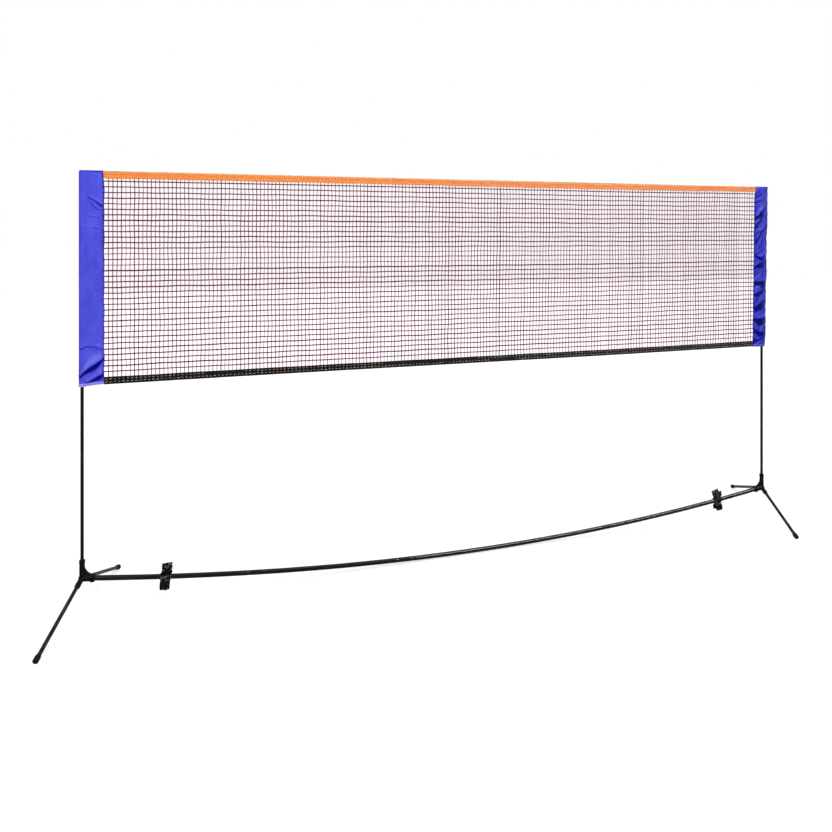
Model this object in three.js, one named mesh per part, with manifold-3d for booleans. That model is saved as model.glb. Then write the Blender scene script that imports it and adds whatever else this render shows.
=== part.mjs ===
// Free-standing portable badminton net set: two corner brackets with plug-in legs,
// a bowed sectional base pole between them, two sectional posts and a taped net.
// Millimetres, +X along the net, +Y away from the viewer, +Z up, floor at Z = 0.

import * as THREE from "three";
import { mergeVertices } from "three/addons/utils/BufferGeometryUtils.js";
import Module from "manifold-3d";

// Overall sizes
const POST_SPACING = 2960;
const TOP_HEIGHT = 1550;
const NET_DEPTH = 763;
const JUNCTION_HEIGHT = 114.3;
const POLE_SAG = 102.2;
const LEG_REACH = 309;
const LEG_TURN_DEGREES = 17;

// Fits shared by all pieces
const CLEARANCE = 0.3;
const CUT_OVERRUN = 3;

// Base pole: steel tube in sections, joined by inner spigots
const POLE_DIAMETER = 18;
const POLE_WALL = 0.9;
const POLE_SECTIONS = 5;
const POLE_SIDES = 16;
const POLE_STEPS = 6;
const POLE_SPIGOT_LENGTH = 100;
const POLE_SPIGOT_WALL = 1.1;
const POLE_SPIGOT_STEPS = 2;
const POLE_SPIGOT_EASE = 0.2;

// Posts: two tubes each, joined by an inner spigot, with a domed tip
const POST_DIAMETER = 11.5;
const POST_WALL = 1;
const POST_SIDES = 16;
const POST_LOWER_SHARE = 0.5;
const POST_SPIGOT_LENGTH = 90;
const TIP_PLUG_LENGTH = 14;
const TIP_DOME_HEIGHT = 5;
const TIP_DOME_STEPS = 3;

// Legs and their rubber foot caps
const LEG_DIAMETER = 13;
const LEG_WALL = 1;
const LEG_SIDES = 16;
const FOOT_DIAMETER = 18.5;
const FOOT_LENGTH = 24;
const FOOT_SOLE = 6;
const FOOT_EDGE = 2.5;
const FOOT_COLLAR_DIAMETER = 16.5;
const FOOT_COLLAR_LENGTH = 4;
const FOOT_AXIS_HEIGHT = 6.5;

// Corner bracket: moulded sockets round a common junction
const POST_SOCKET_DIAMETER = 19.5;
const POST_SOCKET_RISE = 64;
const POST_SOCKET_DROP = 10;
const POST_STOP = 14;
const POLE_SOCKET_DIAMETER = 24;
const POLE_SOCKET_REACH = 43;
const POLE_SOCKET_RIM_DIAMETER = 27;
const POLE_SOCKET_RIM_LENGTH = 7;
const POLE_STOP = 14;
const LEG_SOCKET_DIAMETER = 19.5;
const LEG_SOCKET_REACH = 42;
const LEG_STOP = 15;
const SOCKET_DRAFT = 0.7;
const SOCKET_EDGE = 2.2;
const SOCKET_SIDES = 18;
const HUB_DIAMETER = 25;
const WEB_THICKNESS = 8;
const WEB_RISE = 40;
const WEB_REACH = 38;
const WEB_HOLLOW_SHARE = 0.36;
const WEB_STEPS = 5;

// Storage clips: a split ring on the base pole with an open clip above and below
const LEFT_CLIP_OFFSET = 278;
const RIGHT_CLIP_OFFSET = 256;
const CLIP_LENGTH = 38;
const CLIP_WALL = 2.6;
const CLIP_TUBE_PITCH = 27;
const CLIP_HALF_HEIGHT = 44;
const CLIP_MOUTH = 12;
const CLIP_LIP_SPREAD = 5.5;
const CLIP_SLIT = 3;
const CLIP_NECK = 9;
const CLIP_SIDES = 20;

// Side sleeves: doubled cloth that slips over a post and is closed at its top
const SLEEVE_WIDTH = 80;
const LEFT_SLEEVE_OVERHANG = 10.5;
const RIGHT_SLEEVE_OVERHANG = 27;
const SLEEVE_CLOTH = 1.2;
const SLEEVE_CROWN = 3;
const SLEEVE_INNER_EDGE = 3;
const SLEEVE_OUTER_EDGE = 2.4;
const SLEEVE_RINGS = 28;
const SLEEVE_FLANK_STEPS = 6;
const SLEEVE_FOLD_DEPTH = 5;
const SLEEVE_FOLD_RISE = 75;
const SLEEVE_FOLD_PITCH = 125;
const LEFT_FOLD_TOP_SHARE = 0.12;
const RIGHT_FOLD_TOP_SHARE = 0.7;

// Net: folded tapes along its top and bottom edges, a cord in the top fold
const TOP_TAPE_HEIGHT = 25;
const BOTTOM_TAPE_HEIGHT = 26;
const TAPE_LAYER = 1;
const TAPE_ROUND_STEPS = 6;
const TOP_CORD_DIAMETER = 3;
const TOP_CORD_SIDES = 8;
const MESH_THICKNESS = 1.6;
const MESH_STRAND = 2.6;
const MESH_COLUMNS = 34;
const MESH_ROWS = 6;
const BOTTOM_TAPE_GRIP = 14;

// Colours and finishes
const materials = {
  blackPlastic: { color: 0x1c1c1c, roughness: 0.55, metalness: 0 },
  blackTube: { color: 0x1b1b19, roughness: 0.35, metalness: 0.4 },
  blackRubber: { color: 0x121212, roughness: 0.8, metalness: 0 },
  plainSteel: { color: 0x9a9a98, roughness: 0.4, metalness: 0.9 },
  blueCloth: { color: 0x4a49c8, roughness: 0.7, metalness: 0 },
  orangeCloth: { color: 0xf58a3c, roughness: 0.8, metalness: 0 },
  darkCloth: { color: 0x24241c, roughness: 0.85, metalness: 0 },
  maroonYarn: { color: 0x5e2742, roughness: 0.85, metalness: 0 },
};

const wasm = await Module();
wasm.setup();

const HALF_SPACING = POST_SPACING / 2;
const poleRadius = POLE_DIAMETER / 2;
const postRadius = POST_DIAMETER / 2;
const legRadius = LEG_DIAMETER / 2;
const tape = { halfThickness: TOP_CORD_DIAMETER / 2 + CLEARANCE + TAPE_LAYER };

// A faceted bore keeps the clearance at the middle of its facets.
function boreRadius(innerPieceRadius, sides) {
  return (innerPieceRadius + CLEARANCE) / Math.cos(Math.PI / sides);
}

// A faceted plug keeps the clearance inside the facets of a round hole.
function plugRadius(holeRadius, sides) {
  return holeRadius * Math.cos(Math.PI / sides) - CLEARANCE;
}

function toSolid(geometry) {
  const bare = geometry.clone();
  bare.deleteAttribute("normal");
  bare.deleteAttribute("uv");
  const welded = mergeVertices(bare);
  return new wasm.Manifold(
    new wasm.Mesh({
      numProp: 3,
      vertProperties: welded.getAttribute("position").array,
      triVerts: new Uint32Array(welded.getIndex().array),
    }),
  );
}

function toGeometry(solid) {
  const mesh = solid.getMesh();
  const geometry = new THREE.BufferGeometry();
  geometry.setAttribute("position", new THREE.BufferAttribute(mesh.vertProperties, 3));
  geometry.setIndex(new THREE.BufferAttribute(mesh.triVerts, 1));
  geometry.computeVertexNormals();
  return geometry;
}

function cutAndJoin(added, removed) {
  let solid = toSolid(added[0]);
  for (const geometry of added.slice(1)) solid = solid.add(toSolid(geometry));
  for (const geometry of removed) solid = solid.subtract(toSolid(geometry));
  return toGeometry(solid);
}

function circlePoints(radius, sides) {
  const points = [];
  for (let i = 0; i < sides; i += 1) {
    const angle = (2 * Math.PI * i) / sides;
    points.push(new THREE.Vector2(radius * Math.cos(angle), radius * Math.sin(angle)));
  }
  return points;
}

// A turned solid about +Z; the profile is a list of [radius, height] from the bottom up.
function turned(profile, sides) {
  const points = profile.map(([radius, height]) => new THREE.Vector2(radius, height));
  const geometry = new THREE.LatheGeometry(points, sides);
  geometry.rotateX(Math.PI / 2);
  return geometry;
}

function rod(radius, from, to, sides) {
  return turned([[0, from], [radius, from], [radius, to], [0, to]], sides);
}

function straightTube(outerRadius, wall, from, to, sides) {
  const innerRadius = outerRadius - wall;
  const profile = [
    [innerRadius, from],
    [outerRadius, from],
    [outerRadius, to],
    [innerRadius, to],
    [innerRadius, from],
  ];
  return turned(profile, sides);
}

// Turns a geometry made along +Z so that it runs from the origin along a direction.
function aimed(geometry, direction) {
  const turn = new THREE.Quaternion();
  turn.setFromUnitVectors(new THREE.Vector3(0, 0, 1), direction);
  return geometry.applyQuaternion(turn);
}

function makeMesh(name, geometry, finish) {
  const mesh = new THREE.Mesh(geometry, new THREE.MeshStandardMaterial(materials[finish]));
  mesh.name = name;
  return mesh;
}

// Base pole

function poleHeight(x) {
  const share = x / HALF_SPACING;
  return JUNCTION_HEIGHT - POLE_SAG * (1 - share * share);
}

function poleSlope(x) {
  return (2 * POLE_SAG * x) / (HALF_SPACING * HALF_SPACING);
}

class PoleCurve extends THREE.Curve {
  constructor(startX, endX) {
    super();
    this.startX = startX;
    this.endX = endX;
  }

  getPoint(t, target = new THREE.Vector3()) {
    const x = this.startX + (this.endX - this.startX) * t;
    return target.set(x, 0, poleHeight(x));
  }
}

function curvedTube(startX, endX, outerRadius, wall, steps) {
  const ring = new THREE.Shape(circlePoints(outerRadius, POLE_SIDES));
  ring.holes.push(new THREE.Path(circlePoints(outerRadius - wall, POLE_SIDES)));
  return new THREE.ExtrudeGeometry(ring, {
    steps,
    extrudePath: new PoleCurve(startX, endX),
  });
}

function makeBasePole() {
  const group = new THREE.Group();
  const poleEnd = HALF_SPACING - POLE_STOP;
  const sectionLength = (2 * poleEnd) / POLE_SECTIONS;
  const holeRadius = poleRadius - POLE_WALL;
  const spigotRadius = plugRadius(holeRadius, POLE_SIDES) - POLE_SPIGOT_EASE;
  for (let i = 0; i < POLE_SECTIONS; i += 1) {
    const startX = -poleEnd + i * sectionLength + CLEARANCE / 2;
    const endX = startX + sectionLength - CLEARANCE;
    const section = curvedTube(startX, endX, poleRadius, POLE_WALL, POLE_STEPS);
    group.add(makeMesh(`base_pole_${i + 1}`, section, "blackTube"));
  }
  for (let i = 1; i < POLE_SECTIONS; i += 1) {
    const jointX = -poleEnd + i * sectionLength;
    const startX = jointX - POLE_SPIGOT_LENGTH / 2;
    const endX = jointX + POLE_SPIGOT_LENGTH / 2;
    const spigot = curvedTube(startX, endX, spigotRadius, POLE_SPIGOT_WALL, POLE_SPIGOT_STEPS);
    group.add(makeMesh(`base_pole_spigot_${i}`, spigot, "plainSteel"));
  }
  return group;
}

// Corner bracket, made round its junction with the base pole towards +X

const legTurn = THREE.MathUtils.degToRad(LEG_TURN_DEGREES);
const legDrop = JUNCTION_HEIGHT - FOOT_AXIS_HEIGHT;
const legAxisLength = Math.hypot(LEG_REACH, legDrop);
const poleDirection = new THREE.Vector3(1, 0, poleSlope(-HALF_SPACING)).normalize();

// side is -1 for the leg on the -Y side of the bracket and 1 for the one on the +Y side.
function legDirection(side) {
  const run = LEG_REACH / legAxisLength;
  return new THREE.Vector3(
    side * Math.sin(legTurn) * run,
    side * Math.cos(legTurn) * run,
    -legDrop / legAxisLength,
  );
}

function socket(diameter, from, to) {
  const mouthRadius = diameter / 2 - SOCKET_DRAFT;
  const profile = [
    [0, from],
    [diameter / 2, from],
    [mouthRadius, to - SOCKET_EDGE],
    [mouthRadius - SOCKET_EDGE / 3, to - SOCKET_EDGE / 3],
    [mouthRadius - SOCKET_EDGE, to],
    [0, to],
  ];
  return turned(profile, SOCKET_SIDES);
}

function poleSocket() {
  const radius = POLE_SOCKET_DIAMETER / 2;
  const rimRadius = POLE_SOCKET_RIM_DIAMETER / 2;
  const rimStart = POLE_SOCKET_REACH - POLE_SOCKET_RIM_LENGTH;
  const rimStep = rimRadius - radius;
  const profile = [
    [0, -POST_SOCKET_DIAMETER / 2 + SOCKET_DRAFT],
    [radius - SOCKET_EDGE, -POST_SOCKET_DIAMETER / 2 + SOCKET_DRAFT],
    [radius, 0],
    [radius, rimStart - rimStep],
    [rimRadius, rimStart],
    [rimRadius, POLE_SOCKET_REACH - rimStep],
    [rimRadius - rimStep, POLE_SOCKET_REACH],
    [0, POLE_SOCKET_REACH],
  ];
  return aimed(turned(profile, SOCKET_SIDES), poleDirection);
}

function web() {
  const outline = new THREE.Shape();
  outline.moveTo(0, 0);
  outline.lineTo(WEB_REACH, 0);
  outline.lineTo(WEB_REACH, POLE_SOCKET_DIAMETER / 2 + WEB_REACH * poleSlope(-HALF_SPACING));
  outline.quadraticCurveTo(
    WEB_REACH * WEB_HOLLOW_SHARE,
    WEB_RISE * WEB_HOLLOW_SHARE,
    POST_SOCKET_DIAMETER / 2 - SOCKET_EDGE,
    WEB_RISE,
  );
  outline.lineTo(0, WEB_RISE);
  const geometry = new THREE.ExtrudeGeometry(outline, {
    depth: WEB_THICKNESS,
    bevelEnabled: false,
    curveSegments: WEB_STEPS,
  });
  geometry.translate(0, 0, -WEB_THICKNESS / 2);
  geometry.rotateX(Math.PI / 2);
  return geometry;
}

function bore(pieceRadius, stop, mouth, sides) {
  return rod(boreRadius(pieceRadius, sides), stop - CLEARANCE, mouth + CUT_OVERRUN, sides);
}

function makeBracketGeometry() {
  const added = [
    socket(POST_SOCKET_DIAMETER, -POST_SOCKET_DROP, POST_SOCKET_RISE),
    poleSocket(),
    web(),
    new THREE.SphereGeometry(HUB_DIAMETER / 2, SOCKET_SIDES, SOCKET_SIDES / 2),
  ];
  const removed = [
    bore(postRadius, POST_STOP, POST_SOCKET_RISE, POST_SIDES),
    aimed(bore(poleRadius, POLE_STOP, POLE_SOCKET_REACH, POLE_SIDES), poleDirection),
  ];
  for (const side of [-1, 1]) {
    added.push(aimed(socket(LEG_SOCKET_DIAMETER, 0, LEG_SOCKET_REACH), legDirection(side)));
    const legBore = bore(legRadius, LEG_STOP, LEG_SOCKET_REACH, LEG_SIDES);
    removed.push(aimed(legBore, legDirection(side)));
  }
  return cutAndJoin(added, removed);
}

// Legs and foot caps, from the junction outwards along each leg's axis

function makeLegGeometry(side) {
  const end = legAxisLength - FOOT_SOLE - CLEARANCE;
  const geometry = straightTube(legRadius, LEG_WALL, LEG_STOP, end, LEG_SIDES);
  return aimed(geometry, legDirection(side));
}

function makeFootGeometry(side) {
  const start = legAxisLength - FOOT_LENGTH;
  const radius = FOOT_DIAMETER / 2;
  const collarRadius = FOOT_COLLAR_DIAMETER / 2;
  const profile = [
    [0, start],
    [collarRadius, start],
    [collarRadius, start + FOOT_COLLAR_LENGTH - FOOT_EDGE / 2],
    [radius, start + FOOT_COLLAR_LENGTH + FOOT_EDGE],
    [radius, legAxisLength - FOOT_EDGE],
    [radius - FOOT_EDGE, legAxisLength],
    [0, legAxisLength],
  ];
  const cap = aimed(turned(profile, LEG_SIDES), legDirection(side));
  const hole = rod(
    boreRadius(legRadius, LEG_SIDES),
    start - CUT_OVERRUN,
    legAxisLength - FOOT_SOLE,
    LEG_SIDES,
  );
  const belowFloor = new THREE.BoxGeometry(4 * LEG_REACH, 4 * LEG_REACH, FOOT_DIAMETER);
  belowFloor.translate(0, 0, -JUNCTION_HEIGHT - FOOT_DIAMETER / 2);
  return cutAndJoin([cap], [aimed(hole, legDirection(side)), belowFloor]);
}

// Posts, from the stop in the bracket up to the closed top of the sleeve

const sleeveTop = TOP_HEIGHT - JUNCTION_HEIGHT;
const sleeveBottom = sleeveTop - NET_DEPTH;
const tipTop = sleeveTop - SLEEVE_CROWN - CLEARANCE;
const postTop = tipTop - TIP_DOME_HEIGHT;
const postJoint = POST_STOP + (postTop - POST_STOP) * POST_LOWER_SHARE;

function makePostSpigotGeometry() {
  const radius = plugRadius(postRadius - POST_WALL, POST_SIDES);
  const half = POST_SPIGOT_LENGTH / 2;
  return rod(radius, postJoint - half, postJoint + half, POST_SIDES);
}

function makeTipGeometry() {
  const plug = plugRadius(postRadius - POST_WALL, POST_SIDES);
  const seat = postTop + CLEARANCE;
  const domeHeight = tipTop - seat;
  const profile = [
    [0, postTop - TIP_PLUG_LENGTH],
    [plug, postTop - TIP_PLUG_LENGTH],
    [plug, seat],
    [postRadius, seat],
  ];
  for (let i = 1; i < TIP_DOME_STEPS; i += 1) {
    const angle = ((Math.PI / 2) * i) / TIP_DOME_STEPS;
    profile.push([postRadius * Math.cos(angle), seat + domeHeight * Math.sin(angle)]);
  }
  profile.push([0, tipTop]);
  return turned(profile, POST_SIDES);
}

// Side sleeves: a flattened cloth tube whose flank towards the net is folded and creased

const sleeveSocketHalf = boreRadius(postRadius, POST_SIDES) + SLEEVE_CLOTH;

function sleeveHalfThickness(x, overhang) {
  const onPost = Math.abs(x) <= postRadius;
  if (onPost) return sleeveSocketHalf;
  const reach = x < 0 ? overhang : SLEEVE_WIDTH - overhang;
  const edge = (x < 0 ? SLEEVE_OUTER_EDGE : SLEEVE_INNER_EDGE) / 2;
  const share = (Math.abs(x) - postRadius) / (reach - postRadius);
  return edge + (sleeveSocketHalf - edge) * (1 - share) ** (x < 0 ? 1 : 4);
}

// Sideways offset of the cloth: diagonal folds that deepen towards the bottom hem.
function sleeveFold(x, heightShare, overhang, topShare) {
  const flank = (x - postRadius) / (SLEEVE_WIDTH - overhang - postRadius);
  if (flank <= 0) return 0;
  const depth = SLEEVE_FOLD_DEPTH * (topShare + (1 - topShare) * (1 - heightShare) ** 3);
  const folds = (NET_DEPTH * heightShare - SLEEVE_FOLD_RISE * flank) / SLEEVE_FOLD_PITCH;
  return depth * Math.sin(2 * Math.PI * folds) * Math.sin(Math.PI * flank) ** 2;
}

function sleeveStations(overhang) {
  const inner = SLEEVE_WIDTH - overhang;
  const stations = [-overhang, -(overhang + postRadius) / 2, -postRadius];
  for (let i = 0; i <= SLEEVE_FLANK_STEPS; i += 1) {
    stations.push(postRadius + ((inner - postRadius) * i) / SLEEVE_FLANK_STEPS);
  }
  return stations;
}

function makeSleeveGeometry(overhang, foldTopShare) {
  const stations = sleeveStations(overhang);
  const ringSize = 2 * stations.length;
  const positions = [];
  for (let ring = 0; ring <= SLEEVE_RINGS; ring += 1) {
    const heightShare = ring / SLEEVE_RINGS;
    const z = sleeveBottom + NET_DEPTH * heightShare;
    for (const x of stations) {
      const fold = sleeveFold(x, heightShare, overhang, foldTopShare);
      positions.push(x, fold - sleeveHalfThickness(x, overhang), z);
    }
    for (const x of [...stations].reverse()) {
      const fold = sleeveFold(x, heightShare, overhang, foldTopShare);
      positions.push(x, fold + sleeveHalfThickness(x, overhang), z);
    }
  }
  const indices = [];
  for (let ring = 0; ring < SLEEVE_RINGS; ring += 1) {
    for (let i = 0; i < ringSize; i += 1) {
      const a = ring * ringSize + i;
      const b = ring * ringSize + ((i + 1) % ringSize);
      indices.push(a, b, b + ringSize, a, b + ringSize, a + ringSize);
    }
  }
  const last = SLEEVE_RINGS * ringSize;
  for (let i = 0; i < stations.length - 1; i += 1) {
    const j = ringSize - 1 - i;
    indices.push(i, j, i + 1, i + 1, j, j - 1);
    indices.push(last + i, last + i + 1, last + j, last + i + 1, last + j - 1, last + j);
  }
  const outside = new THREE.BufferGeometry();
  outside.setAttribute("position", new THREE.Float32BufferAttribute(positions, 3));
  outside.setIndex(indices);
  const channel = rod(
    boreRadius(postRadius, POST_SIDES),
    sleeveBottom - CUT_OVERRUN,
    sleeveTop - SLEEVE_CROWN,
    POST_SIDES,
  );
  return cutAndJoin([outside], [channel]);
}

// Storage clip: its section is drawn across the pole and extruded along it

function extrudedAlongX(shape, length, curveSegments) {
  const geometry = new THREE.ExtrudeGeometry(shape, {
    depth: length,
    bevelEnabled: false,
    curveSegments,
  });
  geometry.translate(0, 0, -length / 2);
  geometry.rotateX(Math.PI / 2);
  geometry.rotateZ(Math.PI / 2);
  return geometry;
}

function clipRod(radius, length, height) {
  const geometry = aimed(rod(radius, -length / 2, length / 2, CLIP_SIDES), new THREE.Vector3(1, 0, 0));
  return geometry.translate(0, 0, height);
}

function clipBlock(width, low, high, length) {
  const geometry = new THREE.BoxGeometry(length, width, high - low);
  return geometry.translate(0, 0, (high + low) / 2);
}

// One open end of the clip: two lips that spread from the mouth of the upper or lower hoop.
function clipLips(direction) {
  const hoopRadius = boreRadius(poleRadius, CLIP_SIDES) + CLIP_WALL;
  const mouth = CLIP_MOUTH / 2;
  const neckHeight = CLIP_TUBE_PITCH + Math.sqrt(hoopRadius ** 2 - (mouth + CLIP_WALL / 2) ** 2);
  const start = neckHeight - 2 * CLIP_WALL;
  return [-1, 1].map((side) => {
    const lip = new THREE.Shape();
    const corners = [
      [mouth, start],
      [mouth + CLIP_LIP_SPREAD, CLIP_HALF_HEIGHT],
      [mouth + CLIP_LIP_SPREAD + CLIP_WALL, CLIP_HALF_HEIGHT],
      [mouth + CLIP_WALL, start],
    ];
    corners.forEach(([across, up], i) => {
      const place = [side * across, direction * up];
      if (i === 0) lip.moveTo(...place);
      else lip.lineTo(...place);
    });
    return extrudedAlongX(lip, CLIP_LENGTH, 1);
  });
}

function makeClipGeometry() {
  const holeRadius = boreRadius(poleRadius, CLIP_SIDES);
  const hoopRadius = holeRadius + CLIP_WALL;
  const cutLength = CLIP_LENGTH + 2 * CUT_OVERRUN;
  const added = [clipRod(hoopRadius, CLIP_LENGTH, 0)];
  const removed = [
    clipRod(holeRadius, cutLength, 0),
    new THREE.BoxGeometry(cutLength, 2 * hoopRadius, CLIP_SLIT).translate(0, hoopRadius, 0),
  ];
  for (const direction of [-1, 1]) {
    const height = direction * CLIP_TUBE_PITCH;
    added.push(clipRod(hoopRadius, CLIP_LENGTH, height));
    added.push(...clipLips(direction));
    removed.push(clipRod(holeRadius, cutLength, height));
    const mouthBlock = clipBlock(CLIP_MOUTH, 0, CLIP_HALF_HEIGHT + CUT_OVERRUN, cutLength);
    mouthBlock.translate(0, 0, CLIP_TUBE_PITCH);
    if (direction < 0) mouthBlock.rotateX(Math.PI);
    removed.push(mouthBlock);
  }
  const neckLow = holeRadius + CLIP_WALL / 2;
  const neckHigh = CLIP_TUBE_PITCH - neckLow;
  added.push(clipBlock(CLIP_NECK, neckLow, neckHigh, CLIP_LENGTH));
  added.push(clipBlock(CLIP_NECK, -neckHigh, -neckLow, CLIP_LENGTH));
  return cutAndJoin(added, removed);
}

// Net, tapes and top cord

const netStart = -HALF_SPACING + (SLEEVE_WIDTH - LEFT_SLEEVE_OVERHANG) + CLEARANCE;
const netEnd = HALF_SPACING - (SLEEVE_WIDTH - RIGHT_SLEEVE_OVERHANG) - CLEARANCE;
const netLength = netEnd - netStart;
const netMiddle = (netStart + netEnd) / 2;
const netBottom = TOP_HEIGHT - NET_DEPTH;
const cordRadius = TOP_CORD_DIAMETER / 2;
const cordHeight = TOP_HEIGHT - tape.halfThickness;
const meshSlotHalf = MESH_THICKNESS / 2 + CLEARANCE;

// Section of a tape folded over the edge of the net, drawn with its fold at the top.
function tapeSection(height, slotTop, channelRadius) {
  const half = tape.halfThickness;
  const outline = [[-half, 0]];
  for (let i = 0; i <= TAPE_ROUND_STEPS; i += 1) {
    const angle = Math.PI * (1 - i / TAPE_ROUND_STEPS);
    outline.push([half * Math.cos(angle), height - half + half * Math.sin(angle)]);
  }
  outline.push([half, 0], [meshSlotHalf, 0]);
  if (channelRadius > 0) {
    const centre = height - half;
    const start = Math.asin(meshSlotHalf / channelRadius);
    for (let i = 0; i <= TOP_CORD_SIDES; i += 1) {
      const angle = start + (2 * (Math.PI - start) * i) / TOP_CORD_SIDES;
      outline.push([channelRadius * Math.sin(angle), centre - channelRadius * Math.cos(angle)]);
    }
  } else {
    outline.push([meshSlotHalf, slotTop], [-meshSlotHalf, slotTop]);
  }
  outline.push([-meshSlotHalf, 0]);
  return new THREE.Shape(outline.map(([across, up]) => new THREE.Vector2(across, up)));
}

function makeTopTapeGeometry() {
  const channel = boreRadius(cordRadius, TOP_CORD_SIDES);
  const section = tapeSection(TOP_TAPE_HEIGHT, TOP_TAPE_HEIGHT, channel);
  const geometry = extrudedAlongX(section, netLength, 1);
  return geometry.translate(netMiddle, 0, TOP_HEIGHT - TOP_TAPE_HEIGHT);
}

function makeBottomTapeGeometry() {
  const section = tapeSection(BOTTOM_TAPE_HEIGHT, BOTTOM_TAPE_GRIP + CLEARANCE, 0);
  const geometry = extrudedAlongX(section, netLength, 1);
  geometry.rotateX(Math.PI);
  return geometry.translate(netMiddle, 0, netBottom + BOTTOM_TAPE_HEIGHT);
}

function makeTopCordGeometry() {
  const geometry = rod(cordRadius, netStart, netEnd, TOP_CORD_SIDES);
  aimed(geometry, new THREE.Vector3(1, 0, 0));
  return geometry.translate(0, 0, cordHeight);
}

// Lines of a strand lattice: both sides of each strand, from one border to the other.
function strandLines(outerLow, low, high, outerHigh, gaps) {
  const pitch = (high - low) / gaps;
  const lines = [outerLow];
  for (let i = 0; i < gaps; i += 1) {
    lines.push(low + i * pitch + MESH_STRAND / 2, low + (i + 1) * pitch - MESH_STRAND / 2);
  }
  lines.push(outerHigh);
  return lines;
}

// A flat plate over the lattice, left open wherever a gap between strands falls.
function latticePlate(columns, rows, thickness) {
  const positions = [];
  for (const y of [-thickness / 2, thickness / 2]) {
    for (const z of rows) {
      for (const x of columns) positions.push(x, y, z);
    }
  }
  const corner = (column, row, back) => (back * rows.length + row) * columns.length + column;
  const isSolid = (column, row) => {
    const inside = column >= 0 && row >= 0 && column < columns.length - 1 && row < rows.length - 1;
    return inside && !(column % 2 === 1 && row % 2 === 1);
  };
  const indices = [];
  const addFace = (a, b, c, d) => indices.push(a, b, c, a, c, d);
  for (let row = 0; row < rows.length - 1; row += 1) {
    for (let column = 0; column < columns.length - 1; column += 1) {
      if (!isSolid(column, row)) continue;
      const front = [[0, 0], [1, 0], [1, 1], [0, 1]].map(([i, j]) => corner(column + i, row + j, 0));
      const back = [[0, 0], [1, 0], [1, 1], [0, 1]].map(([i, j]) => corner(column + i, row + j, 1));
      addFace(front[0], front[1], front[2], front[3]);
      addFace(back[3], back[2], back[1], back[0]);
      if (!isSolid(column, row - 1)) addFace(front[1], front[0], back[0], back[1]);
      if (!isSolid(column + 1, row)) addFace(front[2], front[1], back[1], back[2]);
      if (!isSolid(column, row + 1)) addFace(front[3], front[2], back[2], back[3]);
      if (!isSolid(column - 1, row)) addFace(front[0], front[3], back[3], back[0]);
    }
  }
  const geometry = new THREE.BufferGeometry();
  geometry.setAttribute("position", new THREE.Float32BufferAttribute(positions, 3));
  geometry.setIndex(indices);
  geometry.computeVertexNormals();
  return geometry;
}

function makeNetGeometry() {
  const top = cordHeight - boreRadius(cordRadius, TOP_CORD_SIDES) - CLEARANCE;
  const bottom = netBottom + BOTTOM_TAPE_HEIGHT - BOTTOM_TAPE_GRIP;
  const borderStrand = MESH_STRAND / 2;
  const gridBottom = netBottom + BOTTOM_TAPE_HEIGHT;
  const gridTop = TOP_HEIGHT - TOP_TAPE_HEIGHT;
  const columns = strandLines(
    netStart,
    netStart + borderStrand,
    netEnd - borderStrand,
    netEnd,
    MESH_COLUMNS,
  );
  const rows = strandLines(bottom, gridBottom, gridTop, top, MESH_ROWS);
  return latticePlate(columns, rows, MESH_THICKNESS);
}

// Assembly: the two corners are the same pieces turned half round, but the net is pulled
// taut, so its sleeves sit a little differently on the two posts

function makeCorner(name, heading, overhang, foldTopShare, shared) {
  const corner = new THREE.Group();
  corner.position.set(-Math.cos(heading) * HALF_SPACING, 0, JUNCTION_HEIGHT);
  corner.rotation.z = heading;
  corner.add(makeMesh(`corner_bracket_${name}`, shared.bracket, "blackPlastic"));
  for (const side of [-1, 1]) {
    const place = side * Math.cos(heading) < 0 ? "front" : "rear";
    const leg = side < 0 ? shared.nearLeg : shared.farLeg;
    const foot = side < 0 ? shared.nearFoot : shared.farFoot;
    corner.add(makeMesh(`leg_${place}_${name}`, leg, "blackTube"));
    corner.add(makeMesh(`foot_cap_${place}_${name}`, foot, "blackRubber"));
  }
  corner.add(makeMesh(`post_lower_${name}`, shared.postLower, "blackTube"));
  corner.add(makeMesh(`post_upper_${name}`, shared.postUpper, "blackTube"));
  corner.add(makeMesh(`post_spigot_${name}`, shared.postSpigot, "plainSteel"));
  corner.add(makeMesh(`post_tip_${name}`, shared.postTip, "blackPlastic"));
  const sleeve = makeSleeveGeometry(overhang, foldTopShare);
  corner.add(makeMesh(`side_sleeve_${name}`, sleeve, "blueCloth"));
  return corner;
}

function makeClip(name, x, geometry) {
  const clip = makeMesh(`storage_clip_${name}`, geometry, "blackPlastic");
  clip.position.set(x, 0, poleHeight(x));
  clip.rotation.y = -Math.atan(poleSlope(x));
  return clip;
}

const shared = {
  bracket: makeBracketGeometry(),
  nearLeg: makeLegGeometry(-1),
  farLeg: makeLegGeometry(1),
  nearFoot: makeFootGeometry(-1),
  farFoot: makeFootGeometry(1),
  postLower: straightTube(postRadius, POST_WALL, POST_STOP, postJoint - CLEARANCE / 2, POST_SIDES),
  postUpper: straightTube(postRadius, POST_WALL, postJoint + CLEARANCE / 2, postTop, POST_SIDES),
  postSpigot: makePostSpigotGeometry(),
  postTip: makeTipGeometry(),
};

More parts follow.
